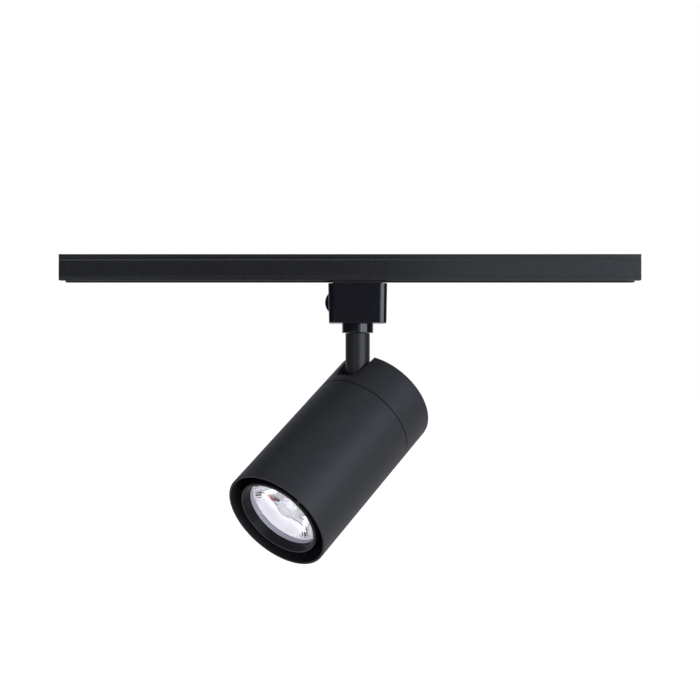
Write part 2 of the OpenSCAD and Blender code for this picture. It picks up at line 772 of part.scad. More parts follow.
module rear_cap() {
    pocket_end = slot_len + pocket_wall;
    color([0.15, 0.15, 0.16]) at_head() difference() {
        union() {
            rotate_extrude() {
                polygon([
                    [0, 0], [head_r - cap_edge_r, 0], [head_r - cap_edge_r, cap_edge_r],
                    [head_r, cap_edge_r], [head_r, cap_front], [spigot_out_r, cap_front],
                    [spigot_out_r, cap_front + spigot_len], [spigot_in_r, cap_front + spigot_len],
                    [spigot_in_r, cap_front - 3.2], [cap_in_r, cap_front - 4.2],
                    [cap_in_r, cap_end_t], [0, cap_end_t]]);
                translate([head_r - cap_edge_r, cap_edge_r]) circle(r = cap_edge_r);
            }
            intersection() {
                across_x(pocket_x - pocket_wall, head_r)
                    polygon([
                        [1, -slot_half_mouth - pocket_wall], [pocket_end, -slot_half_end - pocket_wall],
                        [pocket_end, slot_half_end + pocket_wall], [1, slot_half_mouth + pocket_wall]]);
                cylinder(r = head_r - 1, h = cap_len);
            }
            for (a = post_angles) rotate([0, 0, a]) translate([post_ring_r, 0, 1])
                cylinder(r = post_r, h = bulkhead_z - 1);
            // bosses outside the pocket, under the tilt pin's head and nut
            translate([pin_x, 0, pin_from_rear]) along_y(cheek_r, -cheek_out, cheek_out);
        }
        difference() {
            across_x(pocket_x, head_r + cut) slot_outline();
            // bosses inside the pocket, which the friction washers bear on
            for (side = [-1, 1]) translate([pin_x, 0, pin_from_rear])
                along_y(cheek_r, side < 0 ? -cheek_out : cheek_face, side < 0 ? -cheek_face : cheek_out);
        }
        translate([pin_x, 0, pin_from_rear])
            along_y(pin_r + run_gap, -cheek_out - cut, cheek_out + cut);
        // the wires' way from the pocket into the head
        translate([pocket_x + 4, 0, slot_len - cut]) cylinder(r = 3.4, h = pocket_wall + 2 * cut);
        for (a = post_angles) rotate([0, 0, a]) translate([post_ring_r, 0, bulkhead_z - 9])
            cylinder(r = m3_r + run_gap, h = 10);
    }
}

module pivot_screw() {
    color([0.6, 0.6, 0.62]) at_head() translate([pin_x, 0, pin_from_rear]) union() {
        along_y(pin_r, -cheek_out - eps, cheek_out + pin_nut_t - 0.4);
        difference() {
            along_y(pin_head_r, -cheek_out - pin_head_t, -cheek_out);
            translate([0, -cheek_out - pin_head_t - cut, 0]) rotate([-90, 0, 0])
                cylinder(r = 2.3, h = 1.6 + cut, $fn = 6);
        }
    }
}

module pivot_nut() {
    color([0.6, 0.6, 0.62]) at_head() translate([pin_x, 0, pin_from_rear]) difference() {
        translate([0, cheek_out, 0]) rotate([-90, 0, 0]) cylinder(r = pin_head_r + 0.3, h = pin_nut_t, $fn = 6);
        along_y(pin_r + run_gap, 0, head_r);
    }
}

module friction_washers() {
    color([0.75, 0.72, 0.6]) at_head() translate([pin_x, 0, pin_from_rear])
        for (side = [-1, 1]) {
            near = knuckle_flat + touch;
            far = cheek_face;
            translate([0, side < 0 ? -near : far, 0]) rotate([90, 0, 0])
                ring(cheek_r - 0.2, pin_r + run_gap, far - near);
        }
}

module bulkhead() {
    color([0.5, 0.5, 0.52]) at_head() difference() {
        translate([0, 0, bulkhead_z]) cylinder(r = spigot_in_r - touch, h = bulkhead_t);
        for (a = post_angles) rotate([0, 0, a]) translate([post_ring_r, 0, 0])
            cylinder(r = m3_r + run_gap, h = head_len);
        translate([pocket_x + 4, 0, 0]) cylinder(r = 3.4, h = head_len);
    }
}

module cap_screws() {
    color([0.62, 0.62, 0.64]) at_head() round_z(post_ring_r, post_angles)
        translate([0, 0, bulkhead_front]) screw(m3_r, bulkhead_t + 7.5, m3_head_r, m3_head_t);
}

module tie_rods() {
    color([0.62, 0.62, 0.64]) at_head() round_z(rod_ring_r, rod_angles)
        translate([0, 0, bulkhead_front])
            cylinder(r = rod_r, h = sink_base_z - bulkhead_front, $fn = 6);
}

module driver_tray() {
    color([0.85, 0.85, 0.83]) at_head() translate([0, 0, bulkhead_front]) difference() {
        cylinder(r = tray_r, h = tray_h);
        translate([0, 0, tray_wall]) cylinder(r = tray_r - 3.5, h = tray_h);
        translate([0, 0, board_z - bulkhead_front]) cylinder(r = tray_r - tray_wall, h = tray_h);
        translate([pocket_x + 4, 0, -cut]) cylinder(r = 3.4, h = tray_wall + 2 * cut);
    }
}

module driver_board() {
    color([0.1, 0.35, 0.2]) at_head() translate([0, 0, board_z]) difference() {
        cylinder(r = board_r, h = board_t);
        translate([pocket_x + 4, 0, -cut]) cylinder(r = 3.4, h = board_t + 2 * cut);
    }
}

module driver_transformer() {
    color([0.8, 0.7, 0.3]) at_head() translate([-15, -9, board_z + board_t]) union() {
        cube([16, 18, 3]);
        translate([2, 2, 3 - eps]) cube([12, 14, 7]);
        translate([0, 0, 10 - 2 * eps]) cube([16, 18, 3]);
    }
}

module driver_capacitors() {
    color([0.15, 0.2, 0.4]) at_head() for (side = [-1, 1])
        translate([9, side * 12, board_z + board_t]) chamfered(5, 15, 0.6);
}

// The leads from the slot's pocket to the driver board.
module mains_leads() {
    z0 = slot_len - 2;
    color([0.3, 0.3, 0.32]) at_head() translate([pocket_x + 4, 0, z0])
        for (a = [60, 180, 300])
            rotate([0, 0, a]) translate([1.8, 0, 0]) cylinder(r = lead_r, h = board_z + board_t + 3 - z0);
}

// The two leads from the driver board, up beside the heat sink's core, to the light source.
module lamp_leads() {
    z0 = board_z + board_t;
    color([0.7, 0.1, 0.1]) at_head() for (side = [-1, 1])
        translate([0, side * lamp_lead_y, z0]) cylinder(r = lead_r, h = sink_face + 1.2 - z0);
}

module heat_sink() {
    plate_z = sink_face - sink_plate_t;
    color([0.2, 0.2, 0.21]) at_head() difference() {
        union() {
            translate([0, 0, sink_base_z]) cylinder(r = rod_ring_r + rod_r + 1, h = sink_base_t);
            translate([0, 0, sink_base_z]) cylinder(r = sink_core_r, h = sink_face - sink_base_z);
            translate([0, 0, plate_z]) cylinder(r = holder_out_r, h = sink_plate_t);
            for (i = [0:fin_count - 1]) rotate([0, 0, (i + 0.5) * 360 / fin_count])
                translate([sink_core_r - 1, -fin_t / 2, sink_base_z + eps])
                    cube([fin_r - sink_core_r + 1, fin_t, plate_z - sink_base_z]);
        }
        // the leads' way up, and the holes for the clip's screws
        for (side = [-1, 1]) {
            translate([0, side * lamp_lead_y, sink_base_z - cut])
                cylinder(r = lead_r + 0.4, h = sink_face - sink_base_z + 2 * cut);
            translate([side * clip_screw_r, 0, sink_face - 5]) cylinder(r = m3_r + run_gap, h = 6);
        }
    }
}

module thermal_pad() {
    color([0.6, 0.6, 0.62]) at_head() translate([0, 0, sink_face]) cylinder(r = 11, h = pad_t);
}

module led_board() {
    color([0.9, 0.9, 0.88]) at_head() translate([-cob_w / 2, -cob_w / 2, sink_face + pad_t])
        cube([cob_w, cob_w, cob_t]);
}

module led_emitter() {
    color([0.95, 0.85, 0.3]) at_head() translate([0, 0, sink_face + pad_t + cob_t])
        cylinder(r = emitter_r, h = emitter_t);
}

// The white clip that presses the light source down and brings its two wires in.
module led_clip() {
    color([0.92, 0.92, 0.9]) at_head() translate([0, 0, sink_face]) difference() {
        cylinder(r = clip_r, h = clip_t);
        translate([0, 0, -cut]) cylinder(r = 11 + touch, h = cut + pad_t + eps);
        translate([-cob_w / 2 - touch, -cob_w / 2 - touch, -cut])
            cube([cob_w + 2 * touch, cob_w + 2 * touch, cut + pad_t + cob_t + touch]);
        translate([0, 0, -cut]) cylinder(r = emitter_r + 1, h = clip_t + 2 * cut);
        for (side = [-1, 1]) translate([side * clip_screw_r, 0, -cut])
            cylinder(r = m3_r + run_gap, h = clip_t + 2 * cut);
    }
}

module clip_screws() {
    color([0.62, 0.62, 0.64]) at_head() for (side = [-1, 1])
        translate([side * clip_screw_r, 0, sink_face + clip_t]) screw(m3_r, clip_t + 4.5, m3_head_r, 1.6);
}

// The black cup that carries the lens over the light source.
module lens_holder() {
    color([0.1, 0.1, 0.11]) at_head() rotate_extrude() polygon([
        [clip_r + 5.5, sink_face], [holder_out_r, sink_face], [holder_out_r, lens_front],
        [holder_in_r, lens_front], [holder_in_r, lens_seat], [lens_show_r, lens_seat],
        [lens_show_r, lens_seat - 1.6], [holder_in_r, lens_seat - 3], [holder_in_r, sink_face + 1.5],
        [clip_r + 5.5, sink_face + 1.5]]);
}

module lens() {
    cup_h = 8.5;
    cup_r = 7.4;
    waist_r = lens_show_r - 0.6;
    color([0.85, 0.9, 0.95, 0.5]) at_head() rotate_extrude() polygon([
        [0, lens_small_z + cup_h], [cup_r - 1.6, lens_small_z + cup_h - 0.8], [cup_r, lens_small_z],
        [lens_small_r, lens_small_z],
        [lens_small_r + (waist_r - lens_small_r) * 0.46, lens_small_z + (lens_seat - lens_small_z) * 0.34],
        [lens_small_r + (waist_r - lens_small_r) * 0.8, lens_small_z + (lens_seat - lens_small_z) * 0.7],
        [waist_r, lens_seat], [lens_flange_r, lens_seat], [lens_flange_r, lens_front],
        [0, lens_front]]);
}

module lens_ring() {
    spoke_z = ring_front - 4.4;
    color([0.13, 0.13, 0.14]) at_head() union() {
        rotate_extrude() polygon([
            [holder_out_r + run_gap, lens_seat - 3], [ring_r, lens_seat - 3],
            [ring_r, ring_front - 0.3], [ring_r - 0.3, ring_front], [ring_r - ring_lip, ring_front],
            [lens_show_r, lens_front + touch], [holder_out_r + run_gap, lens_front + touch]]);
        for (i = [0:spoke_count - 1])
            rotate([0, 0, 180 + i * 360 / spoke_count])
                translate([ring_r - 0.2, -spoke_w / 2, spoke_z])
                    cube([tube_in_r - touch - ring_r + 0.2, spoke_w, 3.8]);
    }
}

module front_tube() {
    color([0.17, 0.17, 0.18]) at_head() rotate_extrude() polygon([
        [tube_in_r, tube_rear], [head_r - edge_c / 2, tube_rear], [head_r, tube_rear + edge_c / 2],
        [head_r, head_len - edge_c / 2], [head_r - edge_c / 2, head_len],
        [tube_in_r, head_len]]);
}

track_channel();
front_liner();
rear_liner();
front_conductor();
rear_conductor();
adapter_front_shell();
adapter_rear_shell();
shell_screws();
contact_carrier();
line_contact();
neutral_contact();
ground_contact();
adapter_leads();
wheel_axle();
lock_wheel();
lock_plunger();
stem_collar();
stem_tube();
swivel_washer();
swivel_nut();
stem_leads();
rear_cap();
pivot_screw();
pivot_nut();
friction_washers();
bulkhead();
cap_screws();
tie_rods();
driver_tray();
driver_board();
driver_transformer();
driver_capacitors();
mains_leads();
lamp_leads();
heat_sink();
thermal_pad();
led_board();
led_emitter();
led_clip();
clip_screws();
lens_holder();
lens();
lens_ring();
front_tube();
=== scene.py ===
# %% [markdown]
# # A track spotlight
# The object is a black cylinder spotlight that hangs from a length of lighting track. The packed
# CAD model is the fixed frame of this scene: it says where every piece is, and which body each
# one moves with. Here the pieces that show get rounded edges, knurling, facets and finishes.
# Everything is in metres in the CAD's own frame, so nothing has to be fitted by eye.

# %% Load the frame
import json
import math

import bmesh
import bpy
from mathutils import Matrix, Vector


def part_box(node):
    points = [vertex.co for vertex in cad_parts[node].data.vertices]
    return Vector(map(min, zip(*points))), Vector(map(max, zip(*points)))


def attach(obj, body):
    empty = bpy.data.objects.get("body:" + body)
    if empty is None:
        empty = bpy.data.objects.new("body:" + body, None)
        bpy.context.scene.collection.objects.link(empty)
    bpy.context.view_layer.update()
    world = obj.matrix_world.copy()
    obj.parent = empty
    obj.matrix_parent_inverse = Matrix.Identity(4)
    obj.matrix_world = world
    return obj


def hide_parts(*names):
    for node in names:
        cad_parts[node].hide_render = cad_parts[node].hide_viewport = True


MM = 0.001
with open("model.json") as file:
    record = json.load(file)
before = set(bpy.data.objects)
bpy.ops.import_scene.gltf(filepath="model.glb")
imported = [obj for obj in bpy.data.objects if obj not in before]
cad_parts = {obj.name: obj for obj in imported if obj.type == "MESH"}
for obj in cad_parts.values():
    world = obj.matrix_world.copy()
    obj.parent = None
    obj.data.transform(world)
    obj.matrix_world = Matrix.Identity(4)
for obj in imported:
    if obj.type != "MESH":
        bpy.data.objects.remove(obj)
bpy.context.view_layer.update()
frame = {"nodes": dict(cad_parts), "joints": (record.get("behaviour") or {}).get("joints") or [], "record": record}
nodes_shown = frame["nodes"]
joints = {joint["name"]: joint for joint in frame["joints"]}

# %% [markdown]
# ## Camera
# A long lens, level with the middle of the lamp, shows the track almost without perspective.
# The lens shift moves the picture up a little without tipping the camera, which keeps the stem
# upright.

# %% Camera
camera_data = bpy.data.cameras.new("camera")
camera_data.lens = 80.1
camera_data.sensor_width = 36
camera_data.shift_y = 0.0239
camera_data.clip_start = 0.05
camera = bpy.data.objects.new("camera", camera_data)
camera.location = (0, -1.1396, -0.0812)
camera.rotation_euler = (math.pi / 2, 0, 0)
bpy.context.scene.collection.objects.link(camera)
bpy.context.scene.camera = camera
print("camera at", [round(v, 4) for v in camera.location])

# %% [markdown]
# ## Working frames
# The stem stands on the tilt pin, and the head lies at an angle under it. It is easiest to model
# the head upright, with its axis on Z, and to place the finished mesh with one matrix. The tilt
# joint gives the two angles, and the box of the front tube in those turned axes gives the rest.

# %% Frames of the adapter, the stem and the head
tilt_joint = joints["head_tilt"]
pan_angle = math.atan2(-tilt_joint["axis"][0], tilt_joint["axis"][1])
tilt_angle = -math.radians(tilt_joint["range_deg"][0])
pin_centre = Vector(tilt_joint["pos_m"])
adapter_place = Matrix.Translation((pin_centre.x, 0, 0))
stem_place = Matrix.Translation(pin_centre) @ Matrix.Rotation(pan_angle, 4, "Z")
head_turn = Matrix.Rotation(pan_angle, 4, "Z") @ Matrix.Rotation(tilt_angle + math.pi, 4, "Y")


def box_along(turn, node):
    """Lowest and highest corner of a CAD node, measured along turned axes."""
    back = turn.inverted()
    points = [back @ vertex.co for vertex in nodes_shown[node].data.vertices]
    low = Vector([min(p[i] for p in points) for i in range(3)])
    high = Vector([max(p[i] for p in points) for i in range(3)])
    return low, high


tube_low, tube_high = box_along(head_turn, "front_tube")
cap_low, cap_high = box_along(head_turn, "rear_cap")
head_origin = Vector(((tube_low.x + tube_high.x) / 2, (tube_low.y + tube_high.y) / 2, cap_low.z))
head_place = head_turn @ Matrix.Translation(head_origin)
head_r = (tube_high.x - tube_low.x) / 2 / MM
head_len = (tube_high.z - cap_low.z) / MM
tube_rear = (tube_low.z - cap_low.z) / MM
pin_in_head = head_place.inverted() @ pin_centre / MM
print(f"head radius {head_r:.2f} mm, length {head_len:.2f} mm, seam at {tube_rear:.2f} mm")
print("tilt pin in the head's frame, mm:", [round(v, 2) for v in pin_in_head])

# %% [markdown]
# ## Shaping tools
# Most pieces of a lamp are turned, extruded or cut. These few helpers wrap the mesh operators
# that do this: a profile spun round Z, a straight bar, a rod, a cut with another shape, and a
# bevel on every edge that is sharper than an angle. All of them take millimetres.

# %% Turned shapes, bars and rods
FULL_TURN = 2 * math.pi


def turned(profile, steps=192, closed=True):
    """A solid of revolution: (radius, height) points in mm spun round Z."""
    bm = bmesh.new()
    points = [bm.verts.new((r * MM, 0, z * MM)) for r, z in profile]
    ends = points[1:] + points[:1] if closed else points[1:]
    lines = [bm.edges.new(pair) for pair in zip(points, ends)]
    bmesh.ops.spin(bm, geom=points + lines, axis=(0, 0, 1), cent=(0, 0, 0), angle=FULL_TURN,
                   steps=steps, use_merge=True, use_duplicate=False)
    bmesh.ops.remove_doubles(bm, verts=bm.verts[:], dist=1e-7)
    bmesh.ops.recalc_face_normals(bm, faces=bm.faces[:])
    return bm


def bar(low, high):
    """A straight box between two corners in mm."""
    bm = bmesh.new()
    low, high = Vector(low) * MM, Vector(high) * MM
    bmesh.ops.create_cube(bm, size=1)
    bmesh.ops.scale(bm, vec=high - low, verts=bm.verts[:])
    bmesh.ops.translate(bm, vec=(low + high) / 2, verts=bm.verts[:])
    return bm


def rod(radius, start, end, segments=64):
    """A cylinder of that radius between two points in mm."""
    bm = bmesh.new()
    start, end = Vector(start) * MM, Vector(end) * MM
    along = end - start
    turn = along.to_track_quat("Z", "Y").to_matrix().to_4x4()
    place = Matrix.Translation((start + end) / 2) @ turn
    bmesh.ops.create_cone(bm, cap_ends=True, segments=segments, radius1=radius * MM,
                          radius2=radius * MM, depth=along.length, matrix=place)
    return bm


def soften(bm, width, segments=2, least_angle=30, where=None):
    """Bevels the edges that are sharper than least_angle, and that where() picks by midpoint."""
    sharp = [e for e in bm.edges if len(e.link_faces) == 2
             and e.calc_face_angle(0) > math.radians(least_angle)
             and (where is None or where((e.verts[0].co + e.verts[1].co) / 2 / MM))]
    bmesh.ops.bevel(bm, geom=sharp, affect="EDGES", offset=width * MM, segments=segments,
                    profile=0.5, material=-1, clamp_overlap=True)
    return bm


print("shaping tools: turned, bar, rod and soften")

# %% [markdown]
# Shapes that cross each other are combined with a boolean, and only the exact solver leaves a
# closed skin where a hole breaks through a round wall. Points that fall together are then merged,
# so that the next cut or bevel starts from a clean mesh.

# %% Cutting and joining
def as_object(bm, name):
    mesh = bpy.data.meshes.new(name)
    bm.to_mesh(mesh)
    bm.free()
    made = bpy.data.objects.new(name, mesh)
    bpy.context.scene.collection.objects.link(made)
    return made


def combine(bm, tool, operation):
    """The shape after an exact boolean with the tool; both inputs are used up."""
    target, helper = as_object(bm, "target"), as_object(tool, "tool")
    step = target.modifiers.new("step", "BOOLEAN")
    step.object, step.operation, step.solver = helper, operation, "EXACT"
    done = bmesh.new()
    done.from_object(target, bpy.context.evaluated_depsgraph_get())
    for spare in (target, helper):
        bpy.data.objects.remove(spare)
    bmesh.ops.remove_doubles(done, verts=done.verts[:], dist=1e-7)
    bmesh.ops.dissolve_degenerate(done, dist=1e-7, edges=done.edges[:])
    return done


def cut(bm, tool):
    return combine(bm, tool, "DIFFERENCE")


def join(bm, tool):
    return combine(bm, tool, "UNION")


print("boolean tools: combine, cut and join")

# %% [markdown]
# ## Finishing a piece
# Every new piece ends the same way: it is moved into place in its mesh, shaded smooth except over
# real edges, given its finish, and tied to the CAD body it moves with. It then stands for the CAD
# node of the same place, which stays in the model for collision.

# %% Finish a piece
finishes = {}


def finish_piece(bm, name, place, body, slot, stands_for=(), sharp=40):
    bmesh.ops.transform(bm, matrix=place, verts=bm.verts[:])
    for face in bm.faces:
        face.smooth = True
    for edge in bm.edges:
        edge.smooth = edge.calc_face_angle(0) < math.radians(sharp)
    piece = as_object(bm, name)
    even = piece.modifiers.new("even_normals", "WEIGHTED_NORMAL")
    even.keep_sharp = True
    piece.data.materials.append(finishes[slot])
    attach(piece, body)
    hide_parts(*stands_for)
    print(f"{name}: {len(piece.data.polygons)} faces on {body}, finish {slot}")
    return piece


print("finish_piece is ready; finishes so far:", len(finishes))

# %% [markdown]
# ## Finishes
# A finish is more than a colour. Powder coat has a fine orange peel that breaks up its shine,
# moulded plastic has faint flow marks and handling scuffs, and plated or drawn metal has fine
# lines. Each recipe reads Object coordinates, which are metres in the part's own frame, so the
# grain has its real size on every piece. Values that don't vary stay on the shader's own sockets.

# %% A new finish and its noise
def start_finish(slot, colour, roughness, metallic=0.0):
    material = bpy.data.materials.new(slot)
    material.use_nodes = True
    shader = material.node_tree.nodes["Principled BSDF"]
    shader.inputs["Base Color"].default_value = (*colour, 1)
    shader.inputs["Roughness"].default_value = roughness
    shader.inputs["Metallic"].default_value = metallic
    material.diffuse_color = (*colour, 1)
    finishes[slot] = material
    return material.node_tree, shader


def grain(tree, size, detail=2.0, stretch=(1, 1, 1)):
    """Noise whose blotches are size mm across, stretched where a scale is under 1."""
    where = tree.nodes.new("ShaderNodeTexCoord")
    mapping = tree.nodes.new("ShaderNodeMapping")
    mapping.inputs["Scale"].default_value = stretch
    noise = tree.nodes.new("ShaderNodeTexNoise")
    noise.inputs["Scale"].default_value = 1 / (size * MM)
    noise.inputs["Detail"].default_value = detail
    tree.links.new(where.outputs["Object"], mapping.inputs["Vector"])
    tree.links.new(mapping.outputs["Vector"], noise.inputs["Vector"])
    return noise.outputs["Fac"]


print("noise: start_finish and grain")


# %% Colour, roughness and bumps from noise
def spread(tree, noise, socket, low, high):
    """Sends noise to a socket as values from low to high."""
    span = tree.nodes.new("ShaderNodeMapRange")
    span.inputs["From Min"].default_value = 0.3
    span.inputs["From Max"].default_value = 0.7
    span.inputs["To Min"].default_value = low
    span.inputs["To Max"].default_value = high
    tree.links.new(noise, span.inputs["Value"])
    tree.links.new(span.outputs["Result"], socket)


def tint(tree, noise, shader, dark, light):
    """Varies the colour between two close shades."""
    ramp = tree.nodes.new("ShaderNodeValToRGB")
    ramp.color_ramp.elements[0].position, ramp.color_ramp.elements[1].position = 0.3, 0.7
    ramp.color_ramp.elements[0].color = (*dark, 1)
    ramp.color_ramp.elements[1].color = (*light, 1)
    tree.links.new(noise, ramp.inputs["Fac"])
    tree.links.new(ramp.outputs["Color"], shader.inputs["Base Color"])


def relief(tree, shader, layers):
    """Stacks bumps: each layer is noise and a depth in mm."""
    before = None
    for noise, depth in layers:
        bump = tree.nodes.new("ShaderNodeBump")
        bump.inputs["Distance"].default_value = depth * MM
        tree.links.new(noise, bump.inputs["Height"])
        if before is not None:
            tree.links.new(before, bump.inputs["Normal"])
        before = bump.outputs["Normal"]
    tree.links.new(before, shader.inputs["Normal"])


def shades(colour, share):
    """A darker and a lighter shade of a colour."""
    return [c * (1 - share) for c in colour], [c * (1 + share) for c in colour]


print("from noise: spread, tint, relief and shades")

# %% [markdown]
# ### Powder coat
# The track, stem and head are aluminium with baked powder on it. The track's is glossy on its
# sides and matt on the top and under it, and the head's is a fine satin one. Two grains make each
# of them: a coarse, shallow orange peel and a fine one, and the roughness drifts with a third.

# %% Powder coats
def powder_coat(slot, colour, roughness, peel, peel_depth, fine_depth, specular=0.5):
    tree, shader = start_finish(slot, colour, roughness)
    shader.inputs["Specular IOR Level"].default_value = specular
    tint(tree, grain(tree, 9, 4), shader, *shades(colour, 0.06))
    spread(tree, grain(tree, 3, 3), shader.inputs["Roughness"], roughness - 0.02, roughness + 0.03)
    relief(tree, shader, [(grain(tree, peel, 2), peel_depth), (grain(tree, 0.22, 1), fine_depth)])


powder_coat("track_black", (0.012, 0.012, 0.013), 0.16, 1.2, 0.001, 0.0006, 0.45)
powder_coat("head_black", (0.0205, 0.0205, 0.0222), 0.48, 0.9, 0.005, 0.005, 0.32)
powder_coat("satin_black", (0.012, 0.012, 0.013), 0.34, 0.8, 0.003, 0.002, 0.27)
powder_coat("track_matt", (0.014, 0.014, 0.015), 0.62, 1.2, 0.002, 0.004, 0.2)
powder_coats = list(finishes)
print("powder coats:", powder_coats)

# %% [markdown]
# ### Mouldings
# The adapter is a polished black moulding. Its gloss gives sharp reflections, bent a little where
# the plastic shrank behind the walls. The matt mouldings have a spark-eroded texture instead. The
# leads and sleeves are softer plastics, made by the same recipe with other numbers.

# %% Mouldings
def moulding(slot, colour, roughness, texture, depth, drift=0.03, shrink_depth=0.0):
    tree, shader = start_finish(slot, colour, roughness)
    tint(tree, grain(tree, 6, 3), shader, *shades(colour, 0.08))
    spread(tree, grain(tree, 2.5, 5), shader.inputs["Roughness"],
           roughness - drift / 2, roughness + drift)
    layers = [(grain(tree, texture, 1), depth)]
    if shrink_depth:
        layers.insert(0, (grain(tree, 11, 0), shrink_depth))
    relief(tree, shader, layers)
    return shader


moulding("gloss_black", (0.0055, 0.0055, 0.0075), 0.08, 0.5, 0.0004, 0.04, 0.008)
moulding("liner_plastic", (0.035, 0.035, 0.037), 0.5, 0.4, 0.01)
moulding("matte_black", (0.008, 0.008, 0.0085), 0.55, 0.35, 0.012)
moulding("lead_insulation", (0.05, 0.05, 0.055), 0.42, 0.3, 0.004)
moulding("lamp_lead", (0.45, 0.02, 0.02), 0.38, 0.3, 0.004)
moulding("washer_nylon", (0.62, 0.58, 0.45), 0.45, 0.3, 0.005)
moulding("white_plastic", (0.8, 0.8, 0.77), 0.4, 0.35, 0.006)
moulding("thermal_pad", (0.42, 0.42, 0.44), 0.7, 0.5, 0.02)
moulding("led_white", (0.84, 0.84, 0.82), 0.3, 0.25, 0.003)
moulding("transformer_tape", (0.75, 0.58, 0.12), 0.3, 0.8, 0.01)
moulding("capacitor_sleeve", (0.03, 0.05, 0.17), 0.25, 0.8, 0.006)
print("mouldings:", [name for name in finishes if name not in powder_coats])

# %% [markdown]
# ### Metals
# Zinc plate on screws is dull and slightly uneven. Copper bars and leaves are drawn through a
# die, so their grain runs along the track. The heat sink is black anodised, which keeps the
# extrusion's lines.

# %% Metals
def metal(slot, colour, roughness, stretch, depth, metallic=1.0, mottle=0.12):
    tree, shader = start_finish(slot, colour, roughness, metallic)
    tint(tree, grain(tree, 1.6, 5), shader, *shades(colour, mottle))
    lines = grain(tree, 0.35, 3, stretch)
    spread(tree, lines, shader.inputs["Roughness"], roughness - 0.06, roughness + 0.08)
    relief(tree, shader, [(lines, depth)])


metal("steel", (0.56, 0.56, 0.57), 0.3, (1, 1, 0.25), 0.004)
metal("copper", (0.78, 0.42, 0.25), 0.26, (0.02, 1, 1), 0.003)
metal("bare_aluminium", (0.66, 0.66, 0.67), 0.34, (0.06, 1, 1), 0.004)
metal("sink_black", (0.03, 0.03, 0.032), 0.45, (1, 1, 0.1), 0.008, 0.4)
print("finishes so far:", len(finishes))

# %% [markdown]
# ### Solder resist and phosphor
# The driver's board has copper tracks under green lacquer, and a brick pattern stands for them.
# The light source is a yellow disc of phosphor in silicone, which looks pale under a clear lens.

# %% Board and phosphor
board_tree, board_shader = start_finish("board_green", (0.02, 0.16, 0.06), 0.3)
tracks = board_tree.nodes.new("ShaderNodeTexBrick")
tracks.inputs["Scale"].default_value = 160
tracks.inputs["Color1"].default_value = (0.02, 0.14, 0.05, 1)
tracks.inputs["Color2"].default_value = (0.03, 0.18, 0.07, 1)
tracks.inputs["Mortar"].default_value = (0.05, 0.26, 0.1, 1)
board_where = board_tree.nodes.new("ShaderNodeTexCoord")
board_tree.links.new(board_where.outputs["Object"], tracks.inputs["Vector"])
board_tree.links.new(tracks.outputs["Color"], board_shader.inputs["Base Color"])
relief(board_tree, board_shader, [(tracks.outputs["Fac"], 0.03)])

phosphor_tree, phosphor_shader = start_finish("phosphor", (0.92, 0.86, 0.6), 0.35)
tint(phosphor_tree, grain(phosphor_tree, 0.7, 3), phosphor_shader,
     (0.92, 0.84, 0.55), (0.95, 0.9, 0.7))
relief(phosphor_tree, phosphor_shader, [(grain(phosphor_tree, 0.5, 1), 0.01)])
print("finishes so far:", len(finishes))

# %% [markdown]
# ### The clear lens
# The lens is moulded acrylic. Real refraction in the ray tracer makes its sparkle, so its recipe
# is a refractive index, a little ripple from the mould, and rings tinted into its colour by the
# distance from its axis: the thin blue ring and the thin orange ring there are painted colour
# fringes, which stand in for the light that its edges split. A Mapping node turns Object
# coordinates onto the head's axis, and the distance from that axis picks the tint.

# %% Clear lens
LENS_MIDDLE = (0.93, 0.95, 0.95)
LENS_WALL = (0.97, 0.96, 1.0)
# painted colour fringes: the blue stop at 0.70 and the orange stop at 0.87 stand in for light split at the lens's
# edges
LENS_TINTS_AND_PAINTED_FRINGES = [(0.0, LENS_MIDDLE), (0.64, LENS_MIDDLE), (0.70, (0.62, 0.8, 0.97)), (0.75, LENS_WALL),
         (0.84, LENS_WALL), (0.87, (1.0, 0.76, 0.45)), (0.91, (0.96, 0.95, 1.0))]
TINT_SPAN = 10
lens_tree, lens_shader = start_finish("lens_clear", (0.95, 0.94, 1.0), 0.06)
lens_shader.inputs["Transmission Weight"].default_value = 1
lens_shader.inputs["IOR"].default_value = 1.49
spread(lens_tree, grain(lens_tree, 4, 2), lens_shader.inputs["Roughness"], 0.04, 0.1)
relief(lens_tree, lens_shader, [(grain(lens_tree, 5, 1), 0.01)])
lens_where = lens_tree.nodes.new("ShaderNodeTexCoord")
lens_axis = lens_tree.nodes.new("ShaderNodeMapping")
lens_axis.vector_type = "TEXTURE"
lens_axis.inputs["Location"].default_value = head_place.translation
lens_axis.inputs["Rotation"].default_value = head_place.to_euler()
flat_distance = lens_tree.nodes.new("ShaderNodeVectorMath")
flat_distance.operation = "MULTIPLY"
flat_distance.inputs[1].default_value = (1 / (TINT_SPAN * MM), 1 / (TINT_SPAN * MM), 0)
lens_radius = lens_tree.nodes.new("ShaderNodeVectorMath")
lens_radius.operation = "LENGTH"
# this ramp holds the lens tints and the painted colour fringes
ring_tints_and_painted_fringes = lens_tree.nodes.new("ShaderNodeValToRGB")
for step, (place_at, colour) in enumerate(LENS_TINTS_AND_PAINTED_FRINGES):
    stops = ring_tints_and_painted_fringes.color_ramp.elements
    stop = stops[step] if step < 2 else stops.new(place_at)
    stop.position, stop.color = place_at, (*colour, 1)
lens_tree.links.new(lens_where.outputs["Object"], lens_axis.inputs["Vector"])
lens_tree.links.new(lens_axis.outputs["Vector"], flat_distance.inputs[0])
lens_tree.links.new(flat_distance.outputs["Vector"], lens_radius.inputs[0])
lens_tree.links.new(lens_radius.outputs["Value"], ring_tints_and_painted_fringes.inputs["Fac"])
lens_tree.links.new(ring_tints_and_painted_fringes.outputs["Color"], lens_shader.inputs["Base Color"])
print("all finishes:", sorted(finishes))

# %% [markdown]
# ### Finishes on the CAD nodes
# Most inner pieces are right as they come from the CAD. They keep their meshes, and only the
# material in their slots is exchanged for the finish of the same name.

